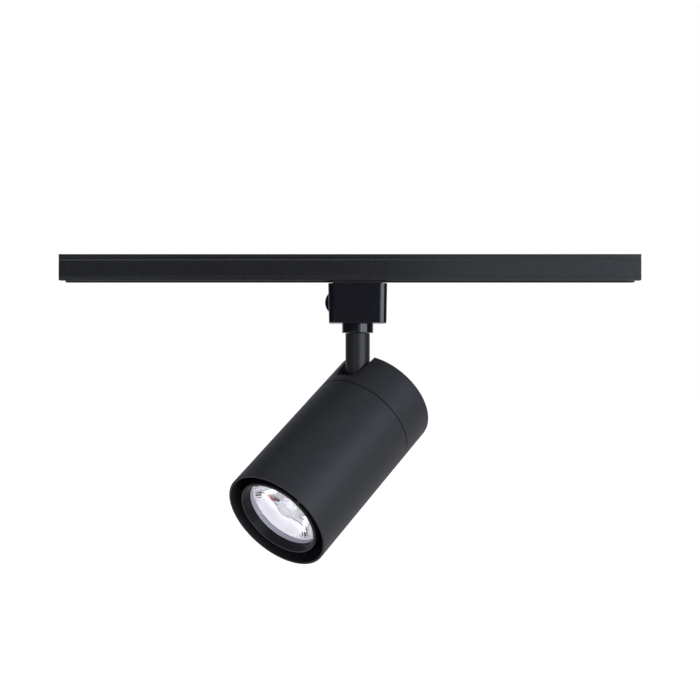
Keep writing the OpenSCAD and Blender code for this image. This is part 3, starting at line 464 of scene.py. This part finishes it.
# %% Give every CAD node its finish
slot_of = {row["node"]: row["material_slot"] for row in frame["record"]["subparts"]}
for node, carried in nodes_shown.items():
    for place in carried.material_slots:
        place.material = finishes[slot_of[node]]
print("CAD nodes with a finish:", len(slot_of))

# %% [markdown]
# ## The track
# Lighting track is an aluminium extrusion: a flat web against the ceiling, two walls with a bead
# and a fine rib near the top edge and a step along the bottom, and two lips that carry the
# adapter. An extrusion has one section all along, so the section is drawn once as a face and
# extruded. The die leaves small radii on every edge, and these catch the thin lines of light.

# %% Section of the track
track_low, track_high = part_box("track_channel")
track_half = track_high.y / MM
track_h = -track_low.z / MM
LIP_HALF, LINER_HALF, WALL_HALF = 9.5, 14.1, 15.3
LIP_THICK, WEB_THICK, CORNER_IN, GROOVE_IN = 1.5, 1.8, 0.4, 0.7
lip_top = LIP_THICK - track_h
bead = [(track_half - CORNER_IN, 0), (track_half - 0.17, -0.35), (track_half - 0.05, -0.8),
        (track_half, -1.4), (track_half, -2.1)]
groove = [(track_half - GROOVE_IN, -2.1), (track_half - GROOVE_IN, -3.5)]
rib = [(track_half - 0.25, -3.5), (track_half, -4.1), (track_half, -4.25)]
flank = [(track_half - 0.2, -4.5), (track_half - 0.2, 2.9 - track_h), (track_half, 2.6 - track_h),
         (track_half, lip_top)]
lip = [(track_half - CORNER_IN, lip_top), (track_half - CORNER_IN, -track_h), (LIP_HALF, -track_h),
       (LIP_HALF, lip_top)]
inside = [(WALL_HALF, lip_top), (WALL_HALF, 3.8 - track_h), (LINER_HALF, 3.8 - track_h),
          (LINER_HALF, 4.6 - track_h), (WALL_HALF, 4.6 - track_h), (WALL_HALF, -WEB_THICK),
          (0, -WEB_THICK)]
track_section = [(0, 0)] + bead + groove + rib + flank + lip + inside
print(f"track {2 * track_half:.1f} mm wide, {track_h:.1f} mm high, {len(track_section)} points a side")

# %% [markdown]
# The half section is mirrored while its face is made, and the face is extruded over the whole
# length. The top and the undersides get a matt finish, and the fixing holes go through the web.

# %% Track

def extruded(section, start, length):
    """A closed half section, mirrored in Y and extruded along X."""
    bm = bmesh.new()
    outline = section + [(-y, z) for y, z in reversed(section) if y]
    corners = [bm.verts.new((start * MM, y * MM, z * MM)) for y, z in outline]
    face = bm.faces.new(corners)
    grown = bmesh.ops.extrude_face_region(bm, geom=[face])["geom"]
    bmesh.ops.translate(bm, vec=(length * MM, 0, 0),
                        verts=[g for g in grown if isinstance(g, bmesh.types.BMVert)])
    bmesh.ops.recalc_face_normals(bm, faces=bm.faces[:])
    return bm


track = extruded(track_section, track_low.x / MM, (track_high.x - track_low.x) / MM)
soften(track, 0.1, 2)
hole_pitch = next(m for m in frame["record"]["mounts"] if m["kind"] == "bolt_pattern")["dims"]
for side in (-1, 1):
    hole_x = side * hole_pitch["spacing_x_mm"] / 2
    track = cut(track, rod(hole_pitch["hole_r_mm"], (hole_x, 0, -4), (hole_x, 0, 2)))
LEVEL = 0.6
for face in track.faces:
    face.material_index = int(abs(face.normal.z) > LEVEL)
track_piece = finish_piece(track, "track_extrusion", Matrix(), "track", "track_black",
                           ["track_channel"])
track_piece.data.materials.append(finishes["track_matt"])

# %% [markdown]
# ## The adapter
# The adapter's housing is two gloss black mouldings that are screwed together from behind. It
# starts as a cube with big upright corners, tapered a little so that it leaves its mould. The
# inside, the window for the thumb wheel, the opening at the top and the collar's hole are cut,
# and the box is then split in two. The small bevel on the split edges makes the fine joint line.

# %% Adapter block
block_low, block_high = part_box("adapter_rear_shell")
block_top, block_foot = block_high.z / MM, block_low.z / MM
block_half = (block_high.x - block_low.x) / 2 / MM
block_deep = block_high.y / MM
BLOCK_WALL, BLOCK_DRAFT, PLATE, CORNER_R = 2.0, 0.52, 1.6, 5.5
wheel_centre = Vector(joints["lock_wheel_turn"]["pos_m"]) / MM - Vector((pin_centre.x / MM, 0, 0))

block = bar((-block_half, -block_deep, block_foot), (block_half, block_deep, block_top))
soften(block, CORNER_R, 14, where=lambda m: abs(abs(m.x) - block_half) < 0.1
       and abs(abs(m.y) - block_deep) < 0.1)
for vertex in block.verts:
    if vertex.co.z < (block_foot + 1) * MM:
        vertex.co.x *= 1 - BLOCK_DRAFT / block_half
        vertex.co.y *= 1 - BLOCK_DRAFT / 2 / block_deep
soften(block, 0.55, 4, where=lambda m: m.z < block_foot + 0.1)
soften(block, 0.25, 2, where=lambda m: m.z > block_top - 0.1)
block_size = (2 * block_half, 2 * block_deep, block_top - block_foot)
print("adapter block in mm:", [round(v, 1) for v in block_size])

# %% [markdown]
# The block is hollowed and opened where other pieces pass: the key at the top, the thumb wheel at
# the left end, the collar below, and three sunk screws in the back.

# %% Openings of the adapter
KEY_X, KEY_Y = 18.1, 9.3
WINDOW_Y, WINDOW_Z = 2.5, 9
COLLAR_HOLE_R, SCREW_X, SCREW_HEAD_R, SCREW_DEEP = 8.05, 17.28, 2.0, 1.8
inner_x, inner_y = block_half - BLOCK_WALL - BLOCK_DRAFT, block_deep - BLOCK_WALL
openings = [((-inner_x, -inner_y, block_foot + BLOCK_WALL), (inner_x, inner_y, block_top - PLATE)),
            ((-KEY_X, -KEY_Y, block_top - PLATE - 1), (KEY_X, KEY_Y, block_top + 1)),
            ((-block_half - 1, -WINDOW_Y, wheel_centre.z - WINDOW_Z),
             (-inner_x + 1, WINDOW_Y, wheel_centre.z + WINDOW_Z))]
for low, high in openings:
    block = cut(block, bar(low, high))
block = cut(block, rod(COLLAR_HOLE_R, (0, 0, block_foot - 1), (0, 0, block_foot + BLOCK_WALL + 1)))
screw_places = [(SCREW_X, block_top - 6.2), (SCREW_X, block_foot + 5.2),
                (-SCREW_X, block_foot + 3.5)]
for x, z in screw_places:
    sunk = rod(SCREW_HEAD_R, (x, block_deep - SCREW_DEEP, z), (x, block_deep + 1, z), 32)
    block = cut(block, sunk)
print("openings in the adapter:", len(openings) + 1 + len(screw_places))

# %% Two halves of the adapter
rear_half = block.copy()
for name, half, side in (("adapter_front_half", block, -1), ("adapter_rear_half", rear_half, 1)):
    keep = bar((-40, min(0, side * 30), block_foot - 5), (40, max(0, side * 30), block_top + 5))
    half = soften(combine(half, keep, "INTERSECT"), 0.1, 2, 50)
    node = "adapter_front_shell" if side < 0 else "adapter_rear_shell"
    finish_piece(half, name, adapter_place, "adapter", "gloss_black", [node])

# %% [markdown]
# ## The thumb wheel
# The lock is worked with a thumb wheel whose knurled rim stands out of the adapter's end. The
# knurl is modelled: one vertex in four of the rim is pulled in, which cuts a V-shaped notch when
# the ring is extruded to the wheel's thickness. The pinion that drives the plunger stands on one
# side, and it is the same trick with bigger teeth.

# %% Toothed discs
def toothed(count, tip, root, start, end, chamfer=0.0):
    """A disc along Z with count notches, chamfered at both ends."""
    bm = bmesh.new()
    bmesh.ops.create_circle(bm, cap_ends=True, segments=4 * count, radius=tip * MM)
    for number, vertex in enumerate(bm.verts):
        if number % 4 == 0:
            bmesh.ops.scale(bm, vec=(root / tip, root / tip, 1), verts=[vertex])
    bmesh.ops.translate(bm, vec=(0, 0, start * MM), verts=bm.verts[:])
    rim = (tip - chamfer) / tip
    heights = [start, start + chamfer, end - chamfer, end] if chamfer else [start, end]
    grows = [1 / rim, 1, rim] if chamfer else [1]
    if chamfer:
        bmesh.ops.scale(bm, vec=(rim, rim, 1), verts=bm.verts[:])
    top = bm.faces[:]
    for low, high, grow in zip(heights, heights[1:], grows):
        grown = bmesh.ops.extrude_face_region(bm, geom=top)["geom"]
        if low > start:
            bmesh.ops.delete(bm, geom=top, context="FACES_ONLY")
        top = [g for g in grown if isinstance(g, bmesh.types.BMFace)]
        moved = [g for g in grown if isinstance(g, bmesh.types.BMVert)]
        bmesh.ops.translate(bm, vec=(0, 0, (high - low) * MM), verts=moved)
        bmesh.ops.scale(bm, vec=(grow, grow, 1), verts=moved)
    bmesh.ops.recalc_face_normals(bm, faces=bm.faces[:])
    return bm


print("toothed discs: toothed")

# %% Thumb wheel
KNURLS, TEETH = 40, 8
KNURL_DEEP, PINION_TIP, PINION_ROOT, AXLE_BORE_R = 0.35, 4.9, 2.8, 1.55
wheel_low, wheel_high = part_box("lock_wheel")
wheel_r = (wheel_high.x - wheel_low.x) / 2 / MM
wheel_half = -wheel_low.y / MM
wheel = toothed(KNURLS, wheel_r, wheel_r - KNURL_DEEP, -wheel_half, wheel_half, 0.4)
wheel = join(wheel, toothed(TEETH, PINION_TIP, PINION_ROOT, wheel_half - 0.2, wheel_high.y / MM))
wheel = cut(wheel, rod(AXLE_BORE_R, (0, 0, -9), (0, 0, 9)))
wheel_place = (Matrix.Translation(joints["lock_wheel_turn"]["pos_m"])
               @ Matrix.Rotation(-math.pi / 2, 4, "X") @ Matrix.Rotation(math.pi / TEETH, 4, "Z"))
finish_piece(wheel, "thumb_wheel", wheel_place, "lock_wheel", "gloss_black", ["lock_wheel"], 25)

# %% [markdown]
# ## Collar and stem
# Both are turned, so both are profiles spun round Z. The collar is gloss black like the adapter.
# The stem's lower end is a ball round the tilt pin, with a flat on each side for the friction
# washers, so that it can swing in the head's slot without touching it.

# %% Collar
collar_low, collar_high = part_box("stem_collar")
collar_r = (collar_high.x - collar_low.x) / 2 / MM
collar_foot, collar_head = collar_low.z / MM, collar_high.z / MM
COLLAR_BORE_R, COLLAR_NECK_R = 6.05, 8
collar = turned([(COLLAR_BORE_R, collar_foot), (collar_r, collar_foot), (collar_r, block_foot),
                 (COLLAR_NECK_R, block_foot), (COLLAR_NECK_R, collar_head),
                 (COLLAR_BORE_R, collar_head)])
soften(collar, 0.45, 3, where=lambda m: math.hypot(m.x, m.y) > 9)
finish_piece(collar, "collar", adapter_place, "adapter", "gloss_black", ["stem_collar"])

# %% Stem
STEM_SPIGOT_R, BORE_R, BORE_FOOT = 6, 4.3, 6.6
WASHER_SEAT_R, PIN_HOLE_R, LEAD_HOLE_R = 6.6, 2.55, 2.4
stem_low, stem_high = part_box("stem_tube")
stem_r = (stem_high.y - stem_low.y) / 2 / MM
spigot_top = (stem_high.z - pin_centre.z) / MM
shoulder = collar_foot - 0.2 - pin_centre.z / MM
quarter = [(stem_r * math.sin(math.radians(a)), -stem_r * math.cos(math.radians(a)))
           for a in range(0, 91, 5)]
stem = turned(quarter + [(stem_r, shoulder), (STEM_SPIGOT_R, shoulder),
                         (STEM_SPIGOT_R, spigot_top),
                         (BORE_R, spigot_top), (BORE_R, BORE_FOOT), (0, BORE_FOOT)], closed=False)
soften(stem, 0.3, 2, where=lambda m: m.z > 10)
for side in (-1, 1):
    stem = cut(stem, rod(WASHER_SEAT_R, (0, side * (stem_r - 1.5), 0), (0, side * 20, 0)))
stem = cut(stem, rod(PIN_HOLE_R, (0, -20, 0), (0, 20, 0)))
stem = cut(stem, rod(LEAD_HOLE_R, (0, 0, BORE_FOOT), (20, 0, BORE_FOOT), 32))
finish_piece(stem, "stem", stem_place, "stem", "satin_black", ["stem_tube"])

# %% [markdown]
# ## The rear cap
# The cap is a deep turned cup with a slot in its side and rear face, and inside the slot is a
# pocket with a boss on each side for the tilt pin. It is built as a machinist would: turn the
# cup, add the block of the pocket and the screw posts, mill the slot through both, and put the
# bosses back. A small bevel on the milled edges gives them the soft line that powder leaves.
# The cup's nose fits inside the front tube, and a narrow seam stays open between the two.

# %% Rear cap
SEAM, CAP_WALL, CAP_END, NOSE_LAP, NOSE_WALL = 0.7, 2.8, 3.0, 6, 2.1
cap_front = tube_rear - SEAM
nose_r = head_r - 1.7
cap = turned([(0, 0), (head_r, 0), (head_r, cap_front), (nose_r, cap_front),
              (nose_r, cap_front + NOSE_LAP), (nose_r - NOSE_WALL, cap_front + NOSE_LAP),
              (nose_r - NOSE_WALL, cap_front - 3.2), (head_r - CAP_WALL, cap_front - 4.2),
              (head_r - CAP_WALL, CAP_END), (0, CAP_END)], 256, closed=False)
soften(cap, 1.0, 5, where=lambda m: m.z < 0.1)
soften(cap, 0.3, 3, where=lambda m: abs(m.z - cap_front) < 0.1
       and math.hypot(m.x, m.y) > head_r - 0.2)
print(f"rear cap {cap_front:.1f} mm long, with a seam of {SEAM} mm")

# %% Pocket and posts of the cap
POCKET_WALL, STEM_GAP, POST_R, POST_IN = 2.2, 1.1, 3.5, 9
pin_x, pin_z = pin_in_head.x, pin_in_head.z
slot_end = pin_z + stem_r + STEM_GAP
slot_floor = pin_x - stem_r - STEM_GAP
mouth_half, end_half = stem_r + 3.2, stem_r + 1.5
pocket = bar((slot_floor - POCKET_WALL, -mouth_half - POCKET_WALL, 1),
             (head_r - 1.5, mouth_half + POCKET_WALL, slot_end + POCKET_WALL))
pocket = combine(pocket, rod(head_r - 1, (0, 0, -1), (0, 0, cap_front), 256), "INTERSECT")
cap = join(cap, pocket)
for angle in (60, 180, 300):
    outward = Vector((math.cos(math.radians(angle)), math.sin(math.radians(angle)), 0))
    post = outward * (head_r - POST_IN)
    post_ends = [post + Vector((0, 0, 1)), post + Vector((0, 0, cap_front + 3.4))]
    cap = join(cap, rod(POST_R, *post_ends, 32))
print(f"slot {2 * mouth_half:.1f} mm wide at its mouth and {2 * end_half:.1f} mm at its end")

# %% Slot and bosses of the cap
SLOT_CORNER_R, BOSS_R, CABLE_HOLE_R = 7, 6, 3.4


def slot_cutter():
    """The slot's tapered outline with two round corners, as thick as the pocket is deep."""
    flare = (mouth_half - end_half) / slot_end
    bm = bmesh.new()
    outline = [(-1, mouth_half + flare), (slot_end, end_half), (slot_end, -end_half),
               (-1, -mouth_half - flare)]
    floor = [bm.verts.new((slot_floor * MM, y * MM, z * MM)) for z, y in outline]
    grown = bmesh.ops.extrude_face_region(bm, geom=[bm.faces.new(floor)])["geom"]
    bmesh.ops.translate(bm, vec=((head_r + 2 - slot_floor) * MM, 0, 0),
                        verts=[g for g in grown if isinstance(g, bmesh.types.BMVert)])
    bmesh.ops.recalc_face_normals(bm, faces=bm.faces[:])
    return soften(bm, SLOT_CORNER_R, 12,
                  where=lambda m: m.z > slot_end - 0.1 and abs(m.y) > end_half - 0.1)


cap = cut(cap, slot_cutter())
cheek_out = mouth_half + POCKET_WALL - 0.3
for side in (-1, 1):
    boss_ends = [(pin_x, side * (stem_r + 0.3), pin_z), (pin_x, side * cheek_out, pin_z)]
    cap = join(cap, rod(BOSS_R, *boss_ends))
cap = cut(cap, rod(PIN_HOLE_R, (pin_x, -cheek_out - 1, pin_z), (pin_x, cheek_out + 1, pin_z)))
hole_x = slot_floor + 4
cap = cut(cap, rod(CABLE_HOLE_R, (hole_x, 0, slot_end - 1), (hole_x, 0, slot_end + 4), 32))
soften(cap, 0.22, 2, 50)
finish_piece(cap, "rear_cap_shell", head_place, "head", "head_black", ["rear_cap"])

# %% [markdown]
# ## The front tube
# A plain tube, but its thin rim is what the eye meets first. It gets a rounded outer edge that
# draws a fine line of light round the mouth, and a smaller round on the inside.

# %% Front tube
TUBE_WALL = 1.6
tube = turned([(head_r - TUBE_WALL, tube_rear), (head_r, tube_rear), (head_r, head_len),
               (head_r - TUBE_WALL, head_len)], 256)
soften(tube, 0.3, 3, where=lambda m: m.z < tube_rear + 0.1)
soften(tube, 0.45, 4, where=lambda m: m.z > head_len - 0.1)
finish_piece(tube, "tube", head_place, "head", "head_black", ["front_tube"])

# %% [markdown]
# ## Lens ring
# The ring holds the lens with a conical face that slopes in to it. Its front edge is well rounded,
# and draws a grey line beside the dark gap that lets warm air out. Three narrow spokes carry it in
# the middle of the tube. Their fronts fall away outwards, so that they catch light as the edge
# does, and two of them start further back.

# %% Lens ring
ring_low, ring_high = box_along(head_place, "lens_ring")
ring_front = ring_high.z / MM
ring_foot = ring_low.z / MM
lens_low, lens_high = box_along(head_place, "lens")
lens_front, lens_small = lens_high.z / MM, lens_low.z / MM
lens_edge_r = (lens_high.x - lens_low.x) / 2 / MM
RING_SKIN, RING_FLAT, RING_ROUND = 0.35, 2, 1.0
ring_r = lens_edge_r + 2.1
lens_show_r = ring_r - 3.6


def at_ring_front(inner, outer):
    """A test for soften(): edges on the ring's front, between two radii."""
    return lambda m: m.z > ring_front - 0.1 and inner < math.hypot(m.x, m.y) < outer


ring = turned([(ring_r - RING_SKIN, ring_foot), (ring_r, ring_foot), (ring_r, ring_front),
               (ring_r - RING_FLAT, ring_front), (lens_show_r, lens_front + 0.1),
               (ring_r - RING_SKIN, lens_front + 0.1)], 256)
soften(ring, RING_ROUND, 5, 60, where=at_ring_front(ring_r - 0.1, head_r))
soften(ring, 0.2, 3, 15, where=at_ring_front(0, ring_r - RING_FLAT + 0.1))
print(f"lens ring {2 * ring_r:.1f} mm across, lens shows {2 * lens_show_r:.1f} mm")

# %% Spokes
SPOKE_FALL, SPOKE_DEEP, SPOKE_HALF = 4.5, 9, 1
spoke_end = head_r - TUBE_WALL - 0.1
for angle, depth in ((60, 2.6), (180, 2.6), (300, 0.05)):
    spoke = bar((ring_r - 1.2, -SPOKE_HALF, ring_front - SPOKE_DEEP),
                (spoke_end, SPOKE_HALF, ring_front - depth))
    for corner in spoke.verts:
        if corner.co.x > ring_r * MM and corner.co.z > (ring_front - 5) * MM:
            corner.co.z -= SPOKE_FALL * MM
    bmesh.ops.rotate(spoke, cent=(0, 0, 0), matrix=Matrix.Rotation(math.radians(angle), 3, "Z"),
                     verts=spoke.verts[:])
    ring = join(ring, spoke)
soften(ring, 0.15, 2, 60, where=lambda m: math.hypot(m.x, m.y) > ring_r + 0.05)
finish_piece(ring, "bezel_ring", head_place, "head", "satin_black", ["lens_ring"])

# %% [markdown]
# ## The lens
# The lens is a clear moulding that gathers light by total reflection: the light source sits in a
# well at its small end, and the outer wall, a steep bowl, sends the light forward. The wall is
# covered in small flat facets, and they give the optic its glitter. A spin with few steps makes
# the facets, and flat shading keeps them crisp. The front face is set back, with a low dome over
# the well.

# %% Lens
FACETS, ROWS, RECESS = 64, 11, 3.2
WELL_R, SMALL_R, BULGE = 7.4, 9.5, 0.62
lens_seat = lens_front - 2
lens_face = lens_front - RECESS
waist_r = lens_show_r - 0.6
well = [(0, lens_small + 8.5), (3.2, lens_small + 8.3), (5.8, lens_small + 7.5),
        (WELL_R, lens_small)]
wall = []
for row in range(ROWS):
    share = row / ROWS
    wall.append((SMALL_R + (waist_r - SMALL_R) * share ** BULGE,
                 lens_small + (lens_face - lens_small) * share))
edge = [(waist_r - 0.3, lens_face - 0.4), (waist_r - 0.3, lens_face)]
dome = [(WELL_R, lens_face), (6.9, lens_face + 0.7), (4.0, lens_face + 1.5), (0, lens_face + 1.8)]
optic = turned(well + wall + edge + dome, FACETS, closed=False)
finish_piece(optic, "optic", head_place, "head", "lens_clear", ["lens"], 1)

# %% [markdown]
# ### Serrated rim
# Round the front face stands a short clear wall with fine ribs, which hides the glare at the edge
# of the beam. It is a toothed disc like the knurled wheel, with its middle cut away. Its ribs
# scatter the light, so its finish is the lens's with less of it clear.

# %% Serrated rim
RIBS, RIB_DEEP = 150, 0.45
rim_in = lens_show_r - 0.15
rim = toothed(RIBS, lens_edge_r, lens_edge_r - 0.05, lens_seat - 1.2, lens_front)
rim = cut(rim, toothed(RIBS, rim_in, rim_in - RIB_DEEP, lens_face - 3, lens_front + 3))
rim_material = finishes["lens_clear"].copy()
rim_material.name = "lens_rim"
rim_shader = rim_material.node_tree.nodes["Principled BSDF"]
for link in list(rim_shader.inputs["Base Color"].links):
    rim_material.node_tree.links.remove(link)
rim_shader.inputs["Base Color"].default_value = (0.86, 0.85, 0.95, 1)
rim_shader.inputs["Transmission Weight"].default_value = 0.25
finishes["lens_rim"] = rim_material
rim_piece = finish_piece(rim, "lens_rim", head_place, "head", "lens_clear", [], 15)
rim_piece.data.materials[0] = rim_material

# %% [markdown]
# ### White cup and lead ends
# Behind the optic the black holder is lined with a white cup, which throws stray light forward.
# It is what makes the whole lens look white from the side, helped by its painted glow. The two
# leads of the light source end in it, a red one and a black one. It has a copy of its finish for
# itself, because only the cup is to get the painted glow.

# %% White cup
CUP_IN, CUP_FLOOR, CUP_THICK = 18.6, 22.5, 1.0
cup_r, cup_top = lens_edge_r - 0.35, lens_seat - 1.7
cup = turned([(CUP_IN, lens_small - 0.6), (cup_r, lens_small - 0.6), (cup_r, cup_top),
              (lens_edge_r - CUP_THICK, cup_top), (lens_edge_r - 2.4, lens_small + 6),
              (CUP_FLOOR, lens_small), (CUP_IN, lens_small)], 96)
soften(cup, 0.12, 2)
cup_piece = finish_piece(cup, "white_cup", head_place, "head", "white_plastic", [])
cup_material = finishes["white_plastic"].copy()
cup_material.name = "cup_white"
finishes["cup_white"] = cup_material
cup_piece.data.materials[0] = cup_material

# %% [markdown]
# A real lens gathers light from the whole room and sends it down to the cup and the light source.
# The ray tracer finds few of those paths, so the cup, the board of the light source and its
# phosphor get a weak painted glow of their own instead: emission that stands in for that gathered
# light. The lamp is off.

# %% Painted glow for gathered light
# painted glow: emission on the cup, the light source's board and its phosphor, though the lamp is off
PAINTED_GLOWS = {"cup_white": 0.4, "led_white": 0.36, "phosphor": 0.36}
for slot, strength in PAINTED_GLOWS.items():
    painted_glow_shader = finishes[slot].node_tree.nodes["Principled BSDF"]
    painted_glow_shader.inputs["Emission Color"].default_value = (0.95, 0.94, 1.0, 1)
    painted_glow_shader.inputs["Emission Strength"].default_value = strength
print("finishes that glow:", PAINTED_GLOWS)

# %% [markdown]
# The places of the lead ends are given along the mouth's long side, across it, and in height over
# the small end of the lens, because that is how they are seen from the front.

# %% Lead ends
along = head_turn.inverted() @ Vector((0.74, 0, -0.672))
across = head_turn.inverted() @ Vector((0.404, -0.799, 0.445))
LEAD_ROUND = 0.25
leads = [("lead_end_red", "lamp_lead", 1.2, (-20, -9.5, 1.6), (-9.4, -14.8, 1.6)),
         ("lead_end_black", "lead_insulation", 1.15, (-9.9, -13.2, 0.9), (-6.6, -10.2, 0.9))]
for name, slot, thick, first, last in leads:
    ends = [Vector((along.x, along.y, 0)) * u + Vector((across.x, across.y, 0)) * v
            + Vector((0, 0, lens_small + w)) for u, v, w in (first, last)]
    lead = soften(rod(thick, *ends, 24), LEAD_ROUND, 2)
    finish_piece(lead, name, head_place, "head", slot, [])

# %% [markdown]
# ## Floor and light
# The object hangs in front of a plain white sweep. The light is soft and comes from a few large
# panels, and the room is bright behind the lamp and dim in front, so its black surfaces keep
# their depth. Floor and room look plain white to the camera, and are brighter still for rays that
# pass through the lens. Two helpers set how bright something is for each kind of ray.

# %% Brightness helpers
def ramp(tree, value, start, end, low, high):
    """A smooth step of a value, used for how bright something is."""
    step = tree.nodes.new("ShaderNodeMapRange")
    step.interpolation_type = "SMOOTHSTEP"
    for name, number in (("From Min", start), ("From Max", end), ("To Min", low), ("To Max", high)):
        step.inputs[name].default_value = number
    tree.links.new(value, step.inputs["Value"])
    return step.outputs["Result"]


def brighter(tree, first, second):
    """The larger of two values; the second may be a plain number."""
    pick = tree.nodes.new("ShaderNodeMath")
    pick.operation = "MAXIMUM"
    tree.links.new(first, pick.inputs[0])
    if isinstance(second, float):
        pick.inputs[1].default_value = second
    else:
        tree.links.new(second, pick.inputs[1])
    return pick.outputs["Value"]


print("brightness helpers: ramp and brighter")

# %% Floor
FLOOR_AT, FLOOR_HALF, FLOOR_GLOW, FLOOR_IN_LENS = -0.75, 30, 0.45, 1.3
floor_mesh = bmesh.new()
bmesh.ops.create_grid(floor_mesh, x_segments=1, y_segments=1, size=FLOOR_HALF)
bmesh.ops.translate(floor_mesh, vec=(0, 0, FLOOR_AT), verts=floor_mesh.verts[:])
floor = as_object(floor_mesh, "floor")
floor_material = bpy.data.materials.new("floor_white")
floor_material.use_nodes = True
floor_tree = floor_material.node_tree
floor_shader = floor_tree.nodes["Principled BSDF"]
floor_shader.inputs["Base Color"].default_value = (0.3, 0.3, 0.3, 1)
floor_shader.inputs["Roughness"].default_value = 0.9
floor_shader.inputs["Emission Color"].default_value = (1, 1, 1, 1)
floor_path = floor_tree.nodes.new("ShaderNodeLightPath")
floor_in_lens = ramp(floor_tree, floor_path.outputs["Is Transmission Ray"], 0, 1, 0, FLOOR_IN_LENS)
floor_seen = brighter(floor_tree, floor_path.outputs["Is Camera Ray"], floor_in_lens)
floor_tree.links.new(brighter(floor_tree, floor_seen, FLOOR_GLOW),
                     floor_shader.inputs["Emission Strength"])
floor.data.materials.append(floor_material)
print("floor at", FLOOR_AT, "m")

# %% [markdown]
# ### Light panels
# The big panel on the right in front draws the bright band on the adapter's corner and the broad
# sheen on the head. A narrow weak one on the left, one above and one low on the left draw the
# thin lines on the other edges. Each is given by where it stands, its size and how bright its
# surface is.

# %% Light panels
COOL = (0.93, 0.98, 1.12)


def panel(name, azimuth, elevation, distance, width, height, radiance, lift=0.0):
    """A soft rectangular light that faces the lamp. Azimuth 0 is in front, 90 is to the right."""
    data = bpy.data.lights.new(name, "AREA")
    data.shape, data.size, data.size_y = "RECTANGLE", width, height
    data.energy = radiance * math.pi * width * height
    data.color = COOL
    light = bpy.data.objects.new(name, data)
    a, e = math.radians(azimuth), math.radians(elevation)
    away = Vector((math.sin(a) * math.cos(e), -math.cos(a) * math.cos(e), math.sin(e)))
    light.location = Vector((0, 0, LAMP_MIDDLE + lift)) + away * distance
    light.rotation_euler = away.to_track_quat("Z", "Y").to_euler()
    light.visible_camera = False
    bpy.context.scene.collection.objects.link(light)
    print(f"{name}: {data.energy:.2f} W")
    return light


LAMP_MIDDLE = -0.05
panel("right_panel", 47, 8, 1.6, 1.55, 1.3, 3.7)
panel("front_panel", 15, 0, 2.2, 0.85, 1.6, 0.7)
panel("left_strip", -26, 0, 1.6, 0.75, 0.9, 0.9, -0.46)
panel("top_strip", 0, 43, 1.8, 1.3, 0.45, 1.5)
panel("low_panel", -42, -30, 1.1, 0.9, 0.5, 1.6)

# %% [markdown]
# ### The room
# Black gloss shows mostly what it mirrors. So the room is a soft gradient by direction: bright
# behind and above the lamp, nearly dark to the sides, and a little lighter again in front.

# %% Room
DIM, ROOM_IN_LENS = 0.03, 1.25
world = bpy.data.worlds.new("studio")
world.use_nodes = True
bpy.context.scene.world = world
sky = world.node_tree
direction = sky.nodes.new("ShaderNodeTexCoord")
split = sky.nodes.new("ShaderNodeSeparateXYZ")
sky.links.new(direction.outputs["Generated"], split.inputs["Vector"])
behind = ramp(sky, split.outputs["Y"], 0.45, 0.95, DIM, 0.55)
above = ramp(sky, split.outputs["Z"], 0.55, 0.95, DIM, 0.45)
in_front = ramp(sky, split.outputs["Y"], -0.75, -1.0, 0.0, 0.1)
path = sky.nodes.new("ShaderNodeLightPath")
through_lens = ramp(sky, path.outputs["Is Transmission Ray"], 0, 1, 0, ROOM_IN_LENS)
direct = brighter(sky, path.outputs["Is Camera Ray"], through_lens)
room = brighter(sky, brighter(sky, behind, above), in_front)
background = sky.nodes["Background"]
hue = sky.nodes.new("ShaderNodeMix")
hue.data_type = "RGBA"
hue.inputs["A"].default_value = (*COOL, 1)
hue.inputs["B"].default_value = (1, 1, 1, 1)
sky.links.new(direct, hue.inputs["Factor"])
sky.links.new(hue.outputs["Result"], background.inputs["Color"])
sky.links.new(brighter(sky, direct, room), background.inputs["Strength"])
bpy.context.scene.view_settings.view_transform = "Standard"
